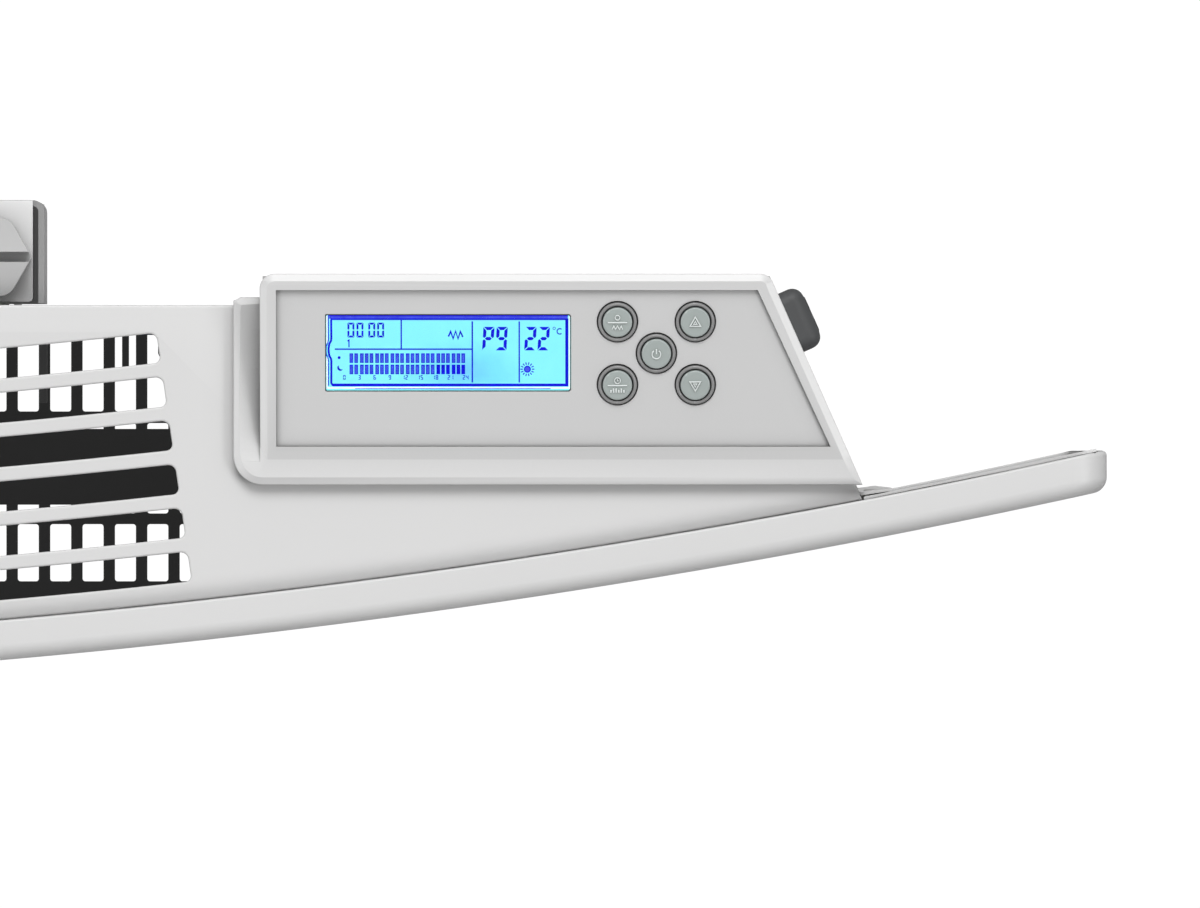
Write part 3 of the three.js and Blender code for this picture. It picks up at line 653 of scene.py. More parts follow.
SCREW = [(0, 0), (1.4, 0), (1.6, 0.3), (1.6, 5.3), (2.75, 6.1), (2.75, 6.25), (2.6, 6.35), (1.5, 6.4), (0, 6.4)]
for number, (sx, sz) in enumerate(((-324.4, -150), (324.4, -150), (-324.4, 150), (324.4, 150)), 1):
    body = along_y(lathe(SCREW, 40), sx, -64.65, sz)
    recess = box(sx - 1.5, sx + 1.5, -58.75, -58, sz - 0.3, sz + 0.3)
    cross = box(sx - 0.3, sx + 0.3, -58.75, -58, sz - 1.5, sz + 1.5)
    piece("screw_%d" % number, boolean(body, ("-", recess), ("-", cross)), M["zinc"], stands_for="casing_screw_%d" % number, angle=30)


def backing_sheet():
    """Thin sheet behind the panel's rim: its body is pressed 1.3 mm forward below a narrow upper edge."""
    w, r1, n = PANEL_W / 2 - 2.2, PANEL_R - FOLD - 0.06, 96
    outline = arc(r1, -w, w, n) + arc(r1 - 0.55, w, -w, n)
    h = PANEL_H / 2 - 1.9
    base = solid(outline, [], [(0, -h), (0, 207.5), (0, 211.5), (0, h)])
    base = warp(base, lambda x, y, z: (x, y - 1.3 * min(1, max(0, (211.5 - z) / 4)), z))
    steps = [("-", box(-321.25, 321.25, -120, -50, 213.5, 240)), ("-", box(-323.6, 323.6, -120, -50, -240, -213.5))]
    for sx, sz in ((-324.4, -150), (324.4, -150), (-324.4, 150), (324.4, 150)):
        steps.append(("-", along_y(lathe([(0, 0), (2.3, 0), (2.3, 20), (0, 20)], 32), sx, -70, sz)))
    return boolean(base, *steps)


piece("rear_sheet", backing_sheet(), M["white_steel"], stands_for="panel_backing_sheet", angle=20)


# ------------------------------------------------------- top plate and grille
def plate_outline(notch, n=64):
    b = -WALL_GAP
    xs = lambda y: SIDE_X0 + (b - y) * SIDE_SLOPE
    pts = [(-SIDE_X0, b, 1.5)] + arc(PLATE_R + (0.25 if notch else 0), -SIDE_X1, SIDE_X1, n)
    if notch:
        pts += [(xs(-39.2), -39.2), (300, -39.2), (306, -51), (204, -51), (204, -23.9), (283.4, -23.9), (283.4, b)]
    else:
        pts.append((SIDE_X0, b, 1.5))
    return rounded(pts)


def slot_outlines():
    ex0, ey0, ex1, ey1 = SLOT_END

    def end(r):
        x = ex0
        for _ in range(8):
            x = ex0 + (ex1 - ex0) * (ey0 - arc_y(r, x)) / (ey0 - ey1)
        return x

    out = []
    for R in SLOT_R:
        for g0, g1 in SLOT_GROUPS:
            far = R + SLOT_W
            xa = lambda r: -end(r) if g0 is None else g0
            xb = lambda r: end(r) if g1 is None else g1
            rear, front = arc(R, xa(R), xb(R), 22), arc(far, xb(far), xa(far), 22)
            pts = ([(*rear[0], 1.6)] + rear[1:-1] + [(*rear[-1], 1.6)] + [(*front[0], 1.25)] + front[1:-1] + [(*front[-1], 1.25)])
            out.append(rounded(pts, 7))
    return out


piece("top_plate_skin",
      solid(plate_outline(True), slot_outlines(), edge_profile(TOP_Z - SHEET, TOP_Z, 0.15, 0.45, 4),
            edge_profile(TOP_Z - SHEET, TOP_Z, 0.15, 0.38, 4)),
      M["white_steel"], stands_for="top_plate", angle=40)


def grille():
    holes = []
    for y0, y1, half in GRILLE_ROWS:
        n = int((half - 3 - GRILLE_OPEN / 2) // GRILLE_PITCH)
        for i in range(-n, n + 1):
            c = 146.1 - 21 * GRILLE_PITCH + i * GRILLE_PITCH
            if abs(c) <= half - 3:
                holes.append(rect(c - GRILLE_OPEN / 2, c + GRILLE_OPEN / 2, y0, y1, 0.55, 3))
    return solid(plate_outline(False), holes, edge_profile(BOT_Z, BOT_Z + SHEET, 0.12, 0.2, 2))


piece("grille_plate", grille(), M["black_steel"], stands_for="bottom_grille", angle=40)


# ------------------------------------------------------------- control housing
FASCIA_RIGHT = ((314.5, -49.6), (299.9, -18.3))


def fascia_outline(d):
    """The fascia's outline in plan, moved outwards by d."""
    return [(203.4 - d, -49.6 - d), (314.5 + 1.566 * d, -49.6 - d), (299.9 + 0.634 * d, -18.3 + d), (203.4 - d, -18.3 + d)]


def upright(x, y, w):
    """Height w above the control face, straight up from plan (x, y)."""
    return (x, y, face_z(y) + w / COS_A)


def mixed(x, y, z):
    """z below 50 is a height of its own; from 50 up it is 100 plus the height above the control face."""
    return (x, y, z + 200) if z < 50 else (x, y, face_z(y) + z - 100 - 0.3 * max(0, y + 16.5))


def tilted(x, y, w):
    return on_face(x, y, w)


def lidded(outline, profile):
    return warp(solid(outline, [], profile), mixed)


def housing():
    z0, z1 = FLANGE_Z0, FLANGE_Z1
    f = [(194.75, -57.3, 5.9), (321.0, -57.3), (side_x(-50.5) + 0.02, -50.5), (side_x(-19.65), -19.65), (196.15, -19.65), (194.75, -20.35)]
    flange = solid(rounded(f, 12), [], [(0, z0), (0, z1 - 0.62), (0.16, z1 - 0.44), (1.5, z1)])
    w = [(200.1, -54.4), (side_x(-54.4), -54.4), (side_x(-15), -15, 2.7), (200.1, -15, 3.0)]
    wedge = lidded(rounded(w, 12), [(0, z0 - 200), (0, 100 - 0.72), (0.13, 100 - 0.56), (1.5, 100)])
    pod = solid([(284, -38.8), (side_x(-38.8), -38.8), (side_x(-15.4), -15.4), (284, -15.4)], [], [(0, 198), (0, z0 + 1.2)])
    inner = [(202.3, -48.8), (side_x(-48.8) - 2.4, -48.8), (side_x(-17) - 2.4, -17), (202.3, -17)]
    cavity = lidded(inner, [(0, 17.8), (0, 100 - 3.6)])
    pod_in = solid([(285.8, -37.0), (side_x(-37.0) - 2, -37.0), (side_x(-16.8) - 2, -16.8), (285.8, -16.8)], [], [(0, 199.8), (0, 220.2)])
    lip = warp(solid(fascia_outline(0.02), [], [(0, -1.6), (0, 4)]), upright)
    seat = warp(solid(fascia_outline(0.28), [], [(0, -2.45), (0, FASCIA_TOP + 0.02)]), tilted)
    through = warp(solid(fascia_outline(-1.3), [], [(0, -5.5), (0, -2.2)]), tilted)
    ledge = solid(rect(200.6, 284.5, -21.5, -15.4), [], [(0, z0), (0, z0 + 1.4)])
    depth = lambda h: 0.06 + 1.19 * min(1, max(0, (h - 22) / 22)) if h < 46 else 1.25 * max(0.02, (52.6 - h) / 6.6) ** 0.8
    valley = solid([(195.4, 0.02), (200.12, -1), (200.12, 0.02)], [], [(0, h) for h in (18, 22, 26, 30, 34, 38, 42, 44, 46, 47.5, 49, 50.5, 51.5, 52.6)])
    valley = [(x, -h, z1 + (z * depth(h) if z < 0 else z)) for x, z, h in valley[0]], valley[1]
    hole = place_switch(solid(rect(-6.8, 6.8, -9.9, 9.9, 2, 6), [], [(0, -3), (0, 3)]))
    me = boolean(flange, ("-", valley), ("+", wedge), ("+", pod), ("-", cavity), ("-", pod_in), ("-", lip), ("-", seat), ("-", through),
                 ("+", ledge), ("-", hole))
    return soften(me, 0.13, 2, 26)


def place_switch(part):
    """A body made with outline (y, z) and height x, put on the inclined side."""
    c, s = math.cos(SWITCH_A), math.sin(SWITCH_A)
    v = [(SWITCH_AT.x + h * c - y * s, SWITCH_AT.y + h * s + y * c, SWITCH_AT.z + z) for y, z, h in part[0]]
    return v, part[1]


piece("housing_cover", housing(), M["housing"], stands_for="control_housing", angle=15)

HOLE_R, RING_OUT, RING_IN, CAP_R = 4.14, 3.90, 3.13, 2.97
WINDOW = (213.2, 262.5, -38.6, -23.1)
fascia_holes = [rounded([(WINDOW[0], WINDOW[2], 0.3), (WINDOW[1], WINDOW[2], 0.55), (WINDOW[1], WINDOW[3], 0.55), (WINDOW[0], WINDOW[3], 0.3)], 5)]
fascia_holes += [disc(x, y, HOLE_R, 72) for x, y in BUTTONS.values()]
piece("fascia_plate",
      warp(solid(fascia_outline(0.0), fascia_holes, edge_profile(FASCIA_TOP - FASCIA_T, FASCIA_TOP, 0.05, 0.06, 2, 0.06),
                 edge_profile(FASCIA_TOP - FASCIA_T, FASCIA_TOP, 0.05, 0.09, 3, 0.06)), tilted),
      M["fascia"], stands_for="control_fascia", angle=35)


# -------------------------------------------------------------------- buttons
def at_button(part, x, y):
    """A part made about Z with its heights above the control face, set at a plan centre."""
    return [on_face(x + px, y + py, w) for px, py, w in part[0]], part[1]


def stroke(points, width, closed=False, w0=-0.24, w1=0.02):
    """A raised line of constant width through plan points, with mitred corners."""
    n, side = len(points), ([], [])
    for i, p in enumerate(points):
        p = Vector(p)
        a = Vector(points[i - 1]) if (i or closed) else None
        b = Vector(points[(i + 1) % n]) if (i < n - 1 or closed) else None
        u = (p - a).normalized() if a is not None else (b - p).normalized()
        v = (b - p).normalized() if b is not None else u
        n0, n1 = Vector((-u.y, u.x)), Vector((-v.y, v.x))
        m = (n0 + n1) / max(0.3, 1 + n0.dot(n1))
        side[0].append(tuple(p + m * width / 2))
        side[1].append(tuple(p - m * width / 2))
    top = min(0.05, width * 0.22)
    prof = [(0, w0), (0, w1 - top), (top, w1)]
    if closed:
        outer, inner = (side[0], side[1]) if abs(area(side[0])) > abs(area(side[1])) else (side[1], side[0])
        return solid(outer, [inner], prof)
    return solid(side[0] + side[1][::-1], [], prof)


def blob(points, w0=-0.24, w1=0.02):
    return solid(points, [], [(0, w0), (0, w1 - 0.04), (0.04, w1)])


def circle(cx, cy, r, n=32, a0=0.0, a1=360.0):
    full = a1 - a0 >= 359.9
    m = n if full else n + 1
    return [(cx + r * math.cos(math.radians(a0 + (a1 - a0) * i / n)), cy + r * math.sin(math.radians(a0 + (a1 - a0) * i / n))) for i in range(m)]


def icon(kind):
    if kind in ("up", "down"):
        s = 1 if kind == "up" else -1
        tri = lambda r, c: [(r * math.cos(math.radians(q)), s * (r * math.sin(math.radians(q)) * 1.0 + c)) for q in (90, 210, 330)]
        return [stroke(tri(1.22, -0.12), 0.26, True), stroke(tri(0.40, -0.14), 0.19, True)]
    if kind == "power":
        return [stroke(circle(0, -0.06, 0.86, 30, 125, 415), 0.27), stroke([(0, 0.0), (0, 1.0)], 0.27)]
    line = stroke([(-1.98, 0.0), (1.98, 0.0)], 0.26)
    if kind == "mode":                            # a ring above the line, a heater wave below it; the moon outline is computed but not drawn
        moon = circle(-0.05, 0.98, 0.5, 20, 60, 300) + circle(0.28, 0.98, 0.5, 14, 240, 120)
        wave = [(-1.05, -1.35), (-0.75, -0.7), (-0.4, -1.35), (0.0, -0.7), (0.4, -1.35), (0.75, -0.7), (1.05, -1.35)]
        return [line, stroke(circle(0, 0.98, 0.46, 24), 0.22, True), stroke(wave, 0.24)]
    bars = [blob(rect(x - 0.17, x + 0.17, -1.42, -1.42 + h, 0.05, 2)) for x, h in
            ((-1.3, 0.55), (-0.78, 0.85), (-0.26, 0.85), (0.26, 0.55), (0.78, 0.85), (1.3, 0.55))]
    clock = [stroke(circle(0, 0.98, 0.58, 26), 0.2, True), stroke([(0, 1.34), (0, 0.96), (0.28, 0.96)], 0.17)]
    return [line] + clock + bars


CAP_PROFILE = ([(0, -4.1), (1.5, -4.1), (1.5, -3.1), (4.3, -3.1), (4.4, -3.0), (4.4, -2.5), (4.3, -2.4), (CAP_R, -2.4)]
               + [(CAP_R - 0.3 + 0.3 * math.cos(math.radians(q)), -0.44 + 0.3 * math.sin(math.radians(q))) for q in range(0, 91, 15)]
               + [(2.3, -0.145), (1.5, -0.17), (0.7, -0.18), (0, -0.18)])
RING_PROFILE = ([(RING_IN, -2.1), (4.10, -2.1), (4.10, -1.7), (RING_OUT, -1.7), (RING_OUT, -0.72)]
                + [(3.55 + 0.35 * math.cos(math.radians(q)), -0.72 + 0.34 * math.sin(math.radians(q))) for q in (12, 28, 45, 62, 80)]
                + [(3.48, -0.385), (3.36, -0.43), (3.24, -0.52), (3.17, -0.64), (RING_IN, -0.80)])
for key, (bx, by) in BUTTONS.items():
    ring_part = ring_body(RING_PROFILE, 88)
    piece("ring_" + key, at_button(ring_part, bx, by), M["ring"], stands_for="button_ring_" + key, angle=50)
    piece("cap_" + key, at_button(lathe(CAP_PROFILE, 80), bx, by), M["cap"], "button_" + key + "_cap", stands_for="button_" + key, angle=35)
    piece("mark_" + key, at_button(join(*icon(key)), bx, by), M["mark"], "button_" + key + "_cap", angle=35)


# -------------------------------------------------------------------- display
UNIT = 0.2                                        # display layout unit in millimetres
INK_W = -1.72                                     # height of the display's glass above the control face


def on_glass(parts, lift):
    out = []
    for part in parts:
        out.append(([on_face(WINDOW[0] + u * UNIT, WINDOW[3] - v * UNIT, INK_W + lift + h) for u, v, h in part[0]],
                    [t[::-1] for t in part[1]]))
    return join(*out)


def ink(points, h=0.02):
    return solid(points, [], [(0, 0), (0, h)])


def ink_stroke(points, width, closed=False, h=0.02):
    v, f = stroke(points, width, closed, 0.0, h)
    return v, f


SEGMENTS = {"0": "abcdef", "1": "bc", "2": "abged", "3": "abgcd", "4": "fgbc", "5": "afgcd", "6": "afgedc",
            "7": "abc", "8": "abcdefg", "9": "abfgcd", "P": "abfge"}


def digit(ch, x0, y0, w, h, t, slant=0.0, g=0.3):
    """Segment character, upper left corner at (x0, y0), v downwards."""
    m, x1, y1 = y0 + h / 2, x0 + w, y0 + h
    shapes = {
        "a": [(x0 + g, y0), (x1 - g, y0), (x1 - g - t, y0 + t), (x0 + g + t, y0 + t)],
        "d": [(x0 + g, y1), (x0 + g + t, y1 - t), (x1 - g - t, y1 - t), (x1 - g, y1)],
        "g": [(x0 + g + t * 0.5, m), (x0 + g + t, m - t / 2), (x1 - g - t, m - t / 2), (x1 - g - t * 0.5, m),
              (x1 - g - t, m + t / 2), (x0 + g + t, m + t / 2)],
        "f": [(x0, y0 + g), (x0 + t, y0 + g + t), (x0 + t, m - g - t / 2), (x0 + t * 0.4, m - g), (x0, m - g - t * 0.4)],
        "e": [(x0, m + g + t * 0.4), (x0 + t * 0.4, m + g), (x0 + t, m + g + t / 2), (x0 + t, y1 - g - t), (x0, y1 - g)],
        "b": [(x1, y0 + g), (x1, m - g - t * 0.4), (x1 - t * 0.4, m - g), (x1 - t, m - g - t / 2), (x1 - t, y0 + g + t)],
        "c": [(x1, m + g + t * 0.4), (x1, y1 - g), (x1 - t, y1 - g - t), (x1 - t, m + g + t / 2), (x1 - t * 0.4, m + g)],
    }
    return [ink([(x + (m - y) * slant, y) for x, y in shapes[s]]) for s in SEGMENTS[ch]]


def display():
    dark, pale, rim = [], [], []
    bar = lambda u0, u1, v0, v1: ink([(u0, v0), (u1, v0), (u1, v1), (u0, v1)])
    # border: a doubled line on top and left, single on the right and below, with a bump half way down the left side
    pale += [bar(4.0, 243.2, 2.6, 5.4)]
    dark += [bar(3.2, 243.6, 1.4, 2.8), bar(5.4, 243.6, 5.1, 6.7), bar(240.7, 243.8, 5.1, 73.1), bar(7.0, 243.8, 70.3, 73.1)]
    left = [(6.1, 6.2), (6.2, 25.0), (5.9, 27.5), (4.2, 30.5), (3.5, 34.5), (3.5, 38.5), (4.2, 42.5), (5.9, 45.5), (6.2, 48.0),
            (6.1, 69.5), (7.4, 72.0)]
    dark.append(ink_stroke(left, 2.1))
    dark.append(ink_stroke([(3.2, 2.2), (3.4, 26.0), (2.6, 29.5), (1.2, 33.0), (0.9, 37.0), (1.2, 41.0), (2.6, 44.0), (3.4, 47.0), (3.3, 72.5)], 1.1))
    rim += [bar(1.4, 245.0, 73.7, 75.6), bar(244.1, 245.2, 3.0, 75.6), bar(1.3, 2.6, 2.6, 30.0), bar(1.3, 2.6, 44.0, 74.0)]
    pale += [bar(30.0, 226.0, 75.0, 75.8)]
    # dividers
    dark += [bar(9.7, 147.5, 35.1, 36.5), bar(75.6, 77.0, 6.5, 35.4), bar(146.75, 148.25, 8.0, 69.2), bar(193.85, 195.25, 8.0, 69.2)]
    for u in (22.4, 31.5, 43.3, 52.2):
        dark += digit("0", u, 9.3, 6.9, 14.8, 1.95, 0.0, 0.3)
    dark.append(ink_stroke([(22.4, 27.8), (23.9, 26.8), (23.9, 34.0)], 1.25))
    dark.append(ink_stroke([(123.6, 23.2), (125.8, 18.2), (128.3, 25.2), (130.8, 17.8), (133.2, 25.4), (135.5, 18.2), (138.0, 23.6)], 1.6))
    for ch, u in (("P", 158.0), ("9", 171.3), ("2", 200.2), ("2", 213.5)):
        dark += digit(ch, u, 13.5, 11.1, 23.5, 3.2, 0.06, 0.55)
    # degree sign and unit
    dark.append(ink_stroke(circle(229.6, 15.0, 1.25, 16), 0.5, True))
    dark.append(ink_stroke(circle(235.2, 18.0, 2.7, 20, 50, 310), 1.1))
    # sun
    dark.append(ink_stroke(circle(202.7, 55.9, 3.0, 24), 1.1, True))
    pale.append(ink(circle(202.7, 55.9, 2.5, 24)))
    for k in range(14):
        q = 2 * math.pi * k / 14
        dark.append(ink_stroke([(202.7 + r * math.cos(q), 55.9 + r * math.sin(q)) for r in (4.5, 7.0)], 1.05))
    # programme bars: two rows in groups of three, the first group without its first bar
    for g in range(-1, 7):
        for j in range(3):
            if g < 0 and j == 0:
                continue
            u = 34.9 + 15.33 * g + 4.82 * j
            for row, v in enumerate((40.0, 51.3)):
                if row and g > 4:
                    dark.append(bar(u, u + 3.75, v, v + 9.6))
                else:
                    dark.append(solid([(u, v), (u + 3.75, v), (u + 3.75, v + 9.6), (u, v + 9.6)],
                                      [[(u + 0.95, v + 1.0), (u + 2.8, v + 1.0), (u + 2.8, v + 8.6), (u + 0.95, v + 8.6)]], [(0, 0), (0, 0.02)]))
                    pale.append(bar(u + 1.0, u + 2.75, v + 1.05, v + 8.55))
    dark.append(ink(circle(14.0, 44.3, 1.5, 16)))
    moon = circle(15.2, 54.4, 3.1, 18, 55, 215) + circle(16.6, 53.2, 2.9, 14, 200, 70)
    dark.append(ink(clean(moon)))
    for k, number in enumerate((0, 3, 6, 9, 12, 15, 18, 21, 24)):
        text, centre = str(number), 19.2 + 15.2 * k
        for i, ch in enumerate(text):
            dark += digit(ch, centre - (2.5 * len(text) + 0.8 * (len(text) - 1)) / 2 + 3.3 * i, 61.9, 2.5, 4.4, 0.78, 0.0, 0.04)
    return dark, pale, rim


lcd_loop = rounded([(WINDOW[0] + 0.1, WINDOW[2] + 0.1, 0.3), (WINDOW[1] - 0.1, WINDOW[2] + 0.1, 0.5), (WINDOW[1] - 0.1, WINDOW[3] - 0.1, 0.5),
                    (WINDOW[0] + 0.1, WINDOW[3] - 0.1, 0.3)], 5)
body_loop = rect(210.6, 264.9, -40.9, -22.5, 0.6, 4)
module = join(warp(solid(body_loop, [], edge_profile(-4.9, -2.45, 0.2, 0.2, 2)), tilted),
              warp(solid(lcd_loop, [], [(0, -2.46), (0, INK_W)]), tilted))
piece("display_panel", module, M["lcd"], stands_for="display_module")
dark_ink, pale_ink, rim_ink = display()
piece("display_symbols", on_glass(dark_ink, 0.02), M["lcd_ink"])
piece("display_fill", on_glass(pale_ink, 0.0), M["lcd_ink_soft"])
piece("display_fringe", on_glass(rim_ink, 0.0), M["lcd_rim"])
gasket_in = rounded([(WINDOW[0] + 0.2, WINDOW[2] + 0.2, 0.25), (WINDOW[1] - 0.2, WINDOW[2] + 0.2, 0.45), (WINDOW[1] - 0.2, WINDOW[3] - 0.2, 0.45),
                     (WINDOW[0] + 0.2, WINDOW[3] - 0.2, 0.25)], 5)
gasket_out = rounded([(WINDOW[0] + 0.02, WINDOW[2] + 0.02, 0.3), (WINDOW[1] - 0.02, WINDOW[2] + 0.02, 0.55), (WINDOW[1] - 0.02, WINDOW[3] - 0.02, 0.55),
                      (WINDOW[0] + 0.02, WINDOW[3] - 0.02, 0.3)], 5)
piece("display_gasket", warp(solid(gasket_out, [gasket_in], [(0, -1.69), (0, -0.97)]), tilted), M["dark"])
window_loop = shift(ccw(gasket_in), 0.01)
piece("window_sheet", warp(solid(window_loop, [], edge_profile(-1.6, -0.98, 0.03, 0.05, 2, 0.03)), tilted), M["clear"],
      stands_for="display_window")


# ---------------------------------------------------------------- main switch
boot_loop = rect(-6.4, 6.4, -9.5, 9.5, 2.6, 8)
boot_profile = ([(1.6, -1.2), (0.0, -1.2), (0, 2.0)] + [(2.3 * (1 - math.cos(math.radians(q))), 2.0 + 2.45 * math.sin(math.radians(q)))
                for q in range(8, 81, 8)] + [(2.4, 4.5), (3.2, 4.6), (4.2, 4.66), (5.2, 4.69)])
boot_hole = rect(-4.8, 4.8, -7.4, 7.4, 1.0, 5)


def boot():
    outside = solid(boot_loop, [], boot_profile)
    return boolean(outside, ("-", solid(boot_hole, [], [(0, -2.0), (0, 3.1)])))


boot_mesh = boot()
boot_mesh.transform(Matrix.Translation(SWITCH_AT / 1000) @ Matrix.Rotation(SWITCH_A, 4, "Z")
                    @ Matrix(((0, 0, 1, 0), (1, 0, 0, 0), (0, 1, 0, 0), (0, 0, 0, 1))))
piece("switch_cover", boot_mesh, M["rubber"], "main_switch", stands_for="switch_boot", angle=50)


# -------------------------------------------------------- locks and bracket
for side, s in (("left", -1), ("right", 1)):
    cx, cy = s * LOCK[0], LOCK[1]
    block = solid(rect(min(s * 133, s * 154.2), max(s * 133, s * 154.2), -20.5, -1.5, 0.9, 5), [], [(0, 182), (0, 203)])
    me = boolean(block, ("+", box(s * 133, s * 154.2, -2.5, -0.1, 202, 203)),
                 ("+", tip(solid(disc(cx, 192, 2.6, 24), [], [(0, -2.4), (0, -0.3)]))),
                 ("-", solid(disc(cx, cy, 4.12, 48), [], [(0, 180), (0, 207)])))
    piece("lock_block_" + side, soften(me, 0.3, 3), M["lock"], stands_for="lock_housing_" + side)
    hexagon = [(cx + 9.12 * math.cos(math.pi / 3 * i), cy + 9.12 * math.sin(math.pi / 3 * i), 0.7 if i % 3 == 0 else 3.4) for i in range(6)]
    loop = [(min(max(x, cx - 9.0), cx + 9.0), y) for x, y in rounded(hexagon, 8)]
    knob = solid(loop, [], [(0.25, 203.3), (0, 203.55), (0, 210.0)])
    roof = lambda q: along_x([(cy, 208.95), (cy + q * 14, 208.95 - 14 * 0.155), (cy + q * 14, 214), (cy, 214)], cx - 12, cx + 12)
    me = boolean(knob, ("-", roof(1)), ("-", roof(-1)), ("+", solid(disc(cx, cy, 4.0, 40), [], [(0, 177.4), (0, 204)])),
                 ("+", box(cx - 1.8, cx + 1.8, cy - 1.8, cy + 1.8, 172, 178)), ("-", box(cx - 12, cx + 12, cy - 1, cy + 1, 206.0, 212)))
    piece("lock_turn_" + side, soften(me, 0.2, 3, 28), M["knob"], "lock_" + side, stands_for="lock_knob_" + side)


def bracket():
    o, i, d, t, zw, lx = 156.5, 155.3, -20.8, 1.2, 165.0, 145.8
    plan = rounded([(-o, 0, 2.4), (-o, d), (-i, d), (-i, -t, 1.2), (i, -t, 1.2), (i, d), (o, d), (o, 0, 2.4)], 8)
    base = solid(plan, [], [(0, zw), (0, 201.7)])
    steps = [("+", tip(solid(rect(-lx, lx, -165, zw + 2, 2, 5), [], [(0, -t), (0, 0)])))]
    for s in (-1, 1):
        steps.append(("+", box(s * 146, s * (o - 0.6), d, -0.6, zw, zw + t)))
        x0, x1 = sorted((s * 144.6, s * lx))
        steps.append(("+", along_x([(-0.6, -162), (d, -156), (d, -150), (-25.4, -150), (-25.4, -128), (-23.4, -128), (-23.4, -138), (d, -138),
                                    (d, -130), (-0.6, -118)], x0, x1)))
        for z in (-136, 166):
            steps.append(("+", tip(solid(rect(s * 128 - 9, s * 128 + 9, z - 9, z + 14, 3, 6), [], [(0, -t - 0.5), (0, -0.4)]))))
    steps += [("-", tip(solid(rect(-110, 110, -110, -14, 4, 5), [], [(0, -3), (0, 1)]))),
              ("-", tip(solid(rect(-110, 110, 14, 150, 4, 5), [], [(0, -3), (0, 1)])))]
    for s in (-1, 1):
        for z in (-136, 166):
            steps.append(("-", tip(solid(rect(s * 128 - 3.5, s * 128 + 3.5, z - 3.5, z + 9, 3.4, 6), [], [(0, -3), (0, 1)]))))
        steps.append(("-", tip(solid(disc(s * LOCK[0], 192, 2.9, 32), [], [(0, -3), (0, 1)]))))
    return soften(boolean(base, *steps), 0.18, 2)


piece("bracket_frame", bracket(), M["bracket"], stands_for="wall_bracket")


# ------------------------------------------- small parts seen through the slots
def flat_bar(x0, x1, y0, y1, z0, z1, r=0.3):
    return soften(raw("bar", box(x0, x1, y0, y1, z0, z1)), r, 2)


for side, s in (("right", 1), ("left", -1)):
    piece("casing_strap_" + side, flat_bar(s * 166.25, s * 167.65, -33.9, -23.2, -216.9, -209.0), M["black_steel"])
    piece("casing_bar_" + side, flat_bar(s * 148.5, s * 150.2, -40.2, -23.2, -216.9, -213.0), M["strap"])
    piece("casing_tab_" + side, flat_bar(s * 173.9, s * 180.0, -30.4, -23.2, -216.9, -212.0, 0.8), M["black_steel"])


# ------------------------------------------------- nodes kept from the CAD model
KEPT = {"heating_element": "black_aluminium", "element_bush_": "ceramic",
        "element_bracket_": "zinc", "thermal_cutout": "dark", "element_lead_live": "red", "element_lead_neutral": "blue",
        "terminal_block": "ceramic", "cable_gland": "dark", "room_sensor_clip": "dark", "room_sensor": "zinc",
        "control_board": "board", "electronics_tray": "dark", "power_board": "board", "power_relay": "dark",
        "main_switch_body": "dark", "main_switch_rocker": "dark", "lock_cam_": "zinc"}


def finish_node(o, mat):
    """Finish of a kept node: its material, flat facets merged, edges rounded."""
    for s in o.material_slots:
        s.link = "OBJECT"
        s.material = mat
    if not o.material_slots:
        o.data.materials.append(mat)
    m = o.modifiers.new("merge", "WELD")
    m.merge_threshold = 1e-6
    m = o.modifiers.new("flats", "DECIMATE")
    m.decimate_type, m.angle_limit = "DISSOLVE", math.radians(1.0)
    m = o.modifiers.new("edges", "BEVEL")
    m.width, m.segments, m.limit_method, m.angle_limit = 0.00018, 2, "ANGLE", math.radians(35)
    m.use_clamp_overlap = True


for name, o in frame["nodes"].items():
    key = next((k for k in sorted(KEPT, key=len, reverse=True) if name.startswith(k)), None)
    if key:
        finish_node(o, M[KEPT[key]])


# ------------------------------------------------------------ floor and light
def floor():
    m, nodes, links, p = material("pale_floor")
    v = coords(nodes, links, 1.0)
    n = noise(nodes, links, v, 0.7, 3.0)
    links.new(ramp(nodes, links, n, [(0.3, (0.30,) * 3), (0.7, (0.32,) * 3)]), p.inputs["Base Color"])
    p.inputs["Roughness"].default_value = 0.9
    p.inputs["Specular IOR Level"].default_value = 0.1
    lit = nodes.new("ShaderNodeEmission")           # the floor shows white and throws little light back up
    links.new(ramp(nodes, links, n, [(0.3, (0.98,) * 3), (0.7, (1.0,) * 3)]), lit.inputs["Color"])
    lit.inputs["Strength"].default_value = 1.06
    seen, mix = nodes.new("ShaderNodeLightPath"), nodes.new("ShaderNodeMixShader")
    links.new(seen.outputs["Is Camera Ray"], mix.inputs[0])
    links.new(p.outputs[0], mix.inputs[1])
    links.new(lit.outputs[0], mix.inputs[2])
    links.new(mix.outputs[0], nodes["Material Output"].inputs["Surface"])
    s, z = 90.0, -1.2
    me = bpy.data.meshes.new("studio_floor")
    me.from_pydata([(-s, -s, z), (s, -s, z), (s, s, z), (-s, s, z)], [], [(0, 1, 2, 3)])
    me.materials.append(m)
    o = bpy.data.objects.new("studio_floor", me)
    bpy.context.scene.collection.objects.link(o)


floor()


def sun(name, azimuth, elevation, energy, spread):
    """A soft far light: azimuth 0 stands in front of the heater, 90 to its right, 180 behind it."""
    d = bpy.data.lights.new(name, "SUN")
    d.energy, d.angle = energy, math.radians(spread)
    o = bpy.data.objects.new(name, d)
    q, e = math.radians(azimuth), math.radians(elevation)
    to = Vector((math.sin(q) * math.cos(e), -math.cos(q) * math.cos(e), math.sin(e)))
    o.rotation_euler = to.to_track_quat("Z", "Y").to_euler()
    bpy.context.scene.collection.objects.link(o)


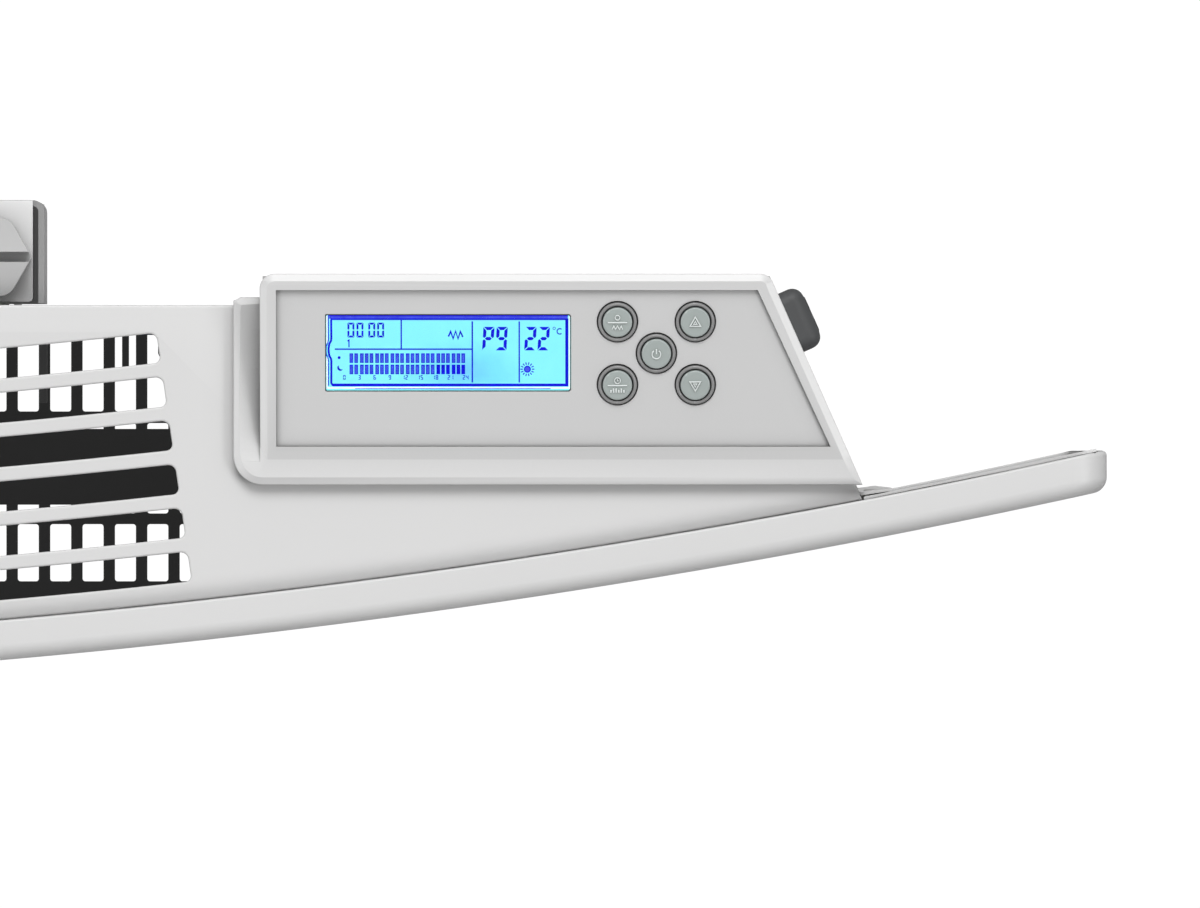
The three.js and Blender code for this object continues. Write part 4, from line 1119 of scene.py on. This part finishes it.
sun("light_rear", 180, 49, 2.05, 34)
sun("light_right", 78, 48, 0.78, 20)
sun("light_left", -61, 39, 0.60, 20)
sun("light_front", 8, 4, 0.26, 40)


def world():
    w = bpy.data.worlds.new("studio")
    bpy.context.scene.world = w
    w.use_nodes = True
    t = w.node_tree
    nodes, links = t.nodes, t.links
    bg = nodes["Background"]
    tc = nodes.new("ShaderNodeTexCoord")
    sep = nodes.new("ShaderNodeSeparateXYZ")
    links.new(tc.outputs["Generated"], sep.inputs["Vector"])
    up = nodes.new("ShaderNodeMapRange")
    up.inputs["From Min"].default_value, up.inputs["From Max"].default_value = -0.05, 0.95
    links.new(sep.outputs["Z"], up.inputs["Value"])
    tone = ramp(nodes, links, up.outputs["Result"], [(0.0, (0.24,) * 3), (0.35, (0.30,) * 3), (1.0, (0.33,) * 3)])
    front = nodes.new("ShaderNodeMapRange")
    front.inputs["From Min"].default_value, front.inputs["From Max"].default_value = -0.9, 0.1
    front.inputs["To Min"].default_value, front.inputs["To Max"].default_value = 0.55, 1.0
    links.new(sep.outputs["Y"], front.inputs["Value"])
    mul = nodes.new("ShaderNodeVectorMath")
    mul.operation = "SCALE"
    links.new(tone, mul.inputs[0])
    links.new(front.outputs["Result"], mul.inputs["Scale"])
    links.new(mul.outputs["Vector"], bg.inputs["Color"])
    bg.inputs["Strength"].default_value = 1.0
    back = nodes.new("ShaderNodeBackground")      # the far backdrop shows pale, as the floor does
    back.inputs["Color"].default_value = (0.98, 0.98, 0.98, 1.0)
    seen, mix = nodes.new("ShaderNodeLightPath"), nodes.new("ShaderNodeMixShader")
    links.new(seen.outputs["Is Camera Ray"], mix.inputs[0])
    links.new(bg.outputs[0], mix.inputs[1])
    links.new(back.outputs[0], mix.inputs[2])
    links.new(mix.outputs[0], nodes["World Output"].inputs["Surface"])


world()

# --------------------------------------------------------------------- camera
cam = bpy.data.objects.new("camera", bpy.data.cameras.new("camera"))
cam.data.type = "PERSP"
cam.data.lens = 1000.0
cam.data.sensor_width = 36.0
cam.data.clip_start = 0.5
cam.data.clip_end = 60.0
cam.data.dof.use_dof = False
cam.location = (0.2683, -0.0511, 0.2245 + 6.683)
cam.rotation_euler = (0.0, 0.0, 0.0)
bpy.context.scene.collection.objects.link(cam)
bpy.context.scene.camera = cam

vs = bpy.context.scene.view_settings
vs.view_transform, vs.look, vs.exposure, vs.gamma = "Standard", "None", 0.0, 1.0

bpy.context.view_layer.update()
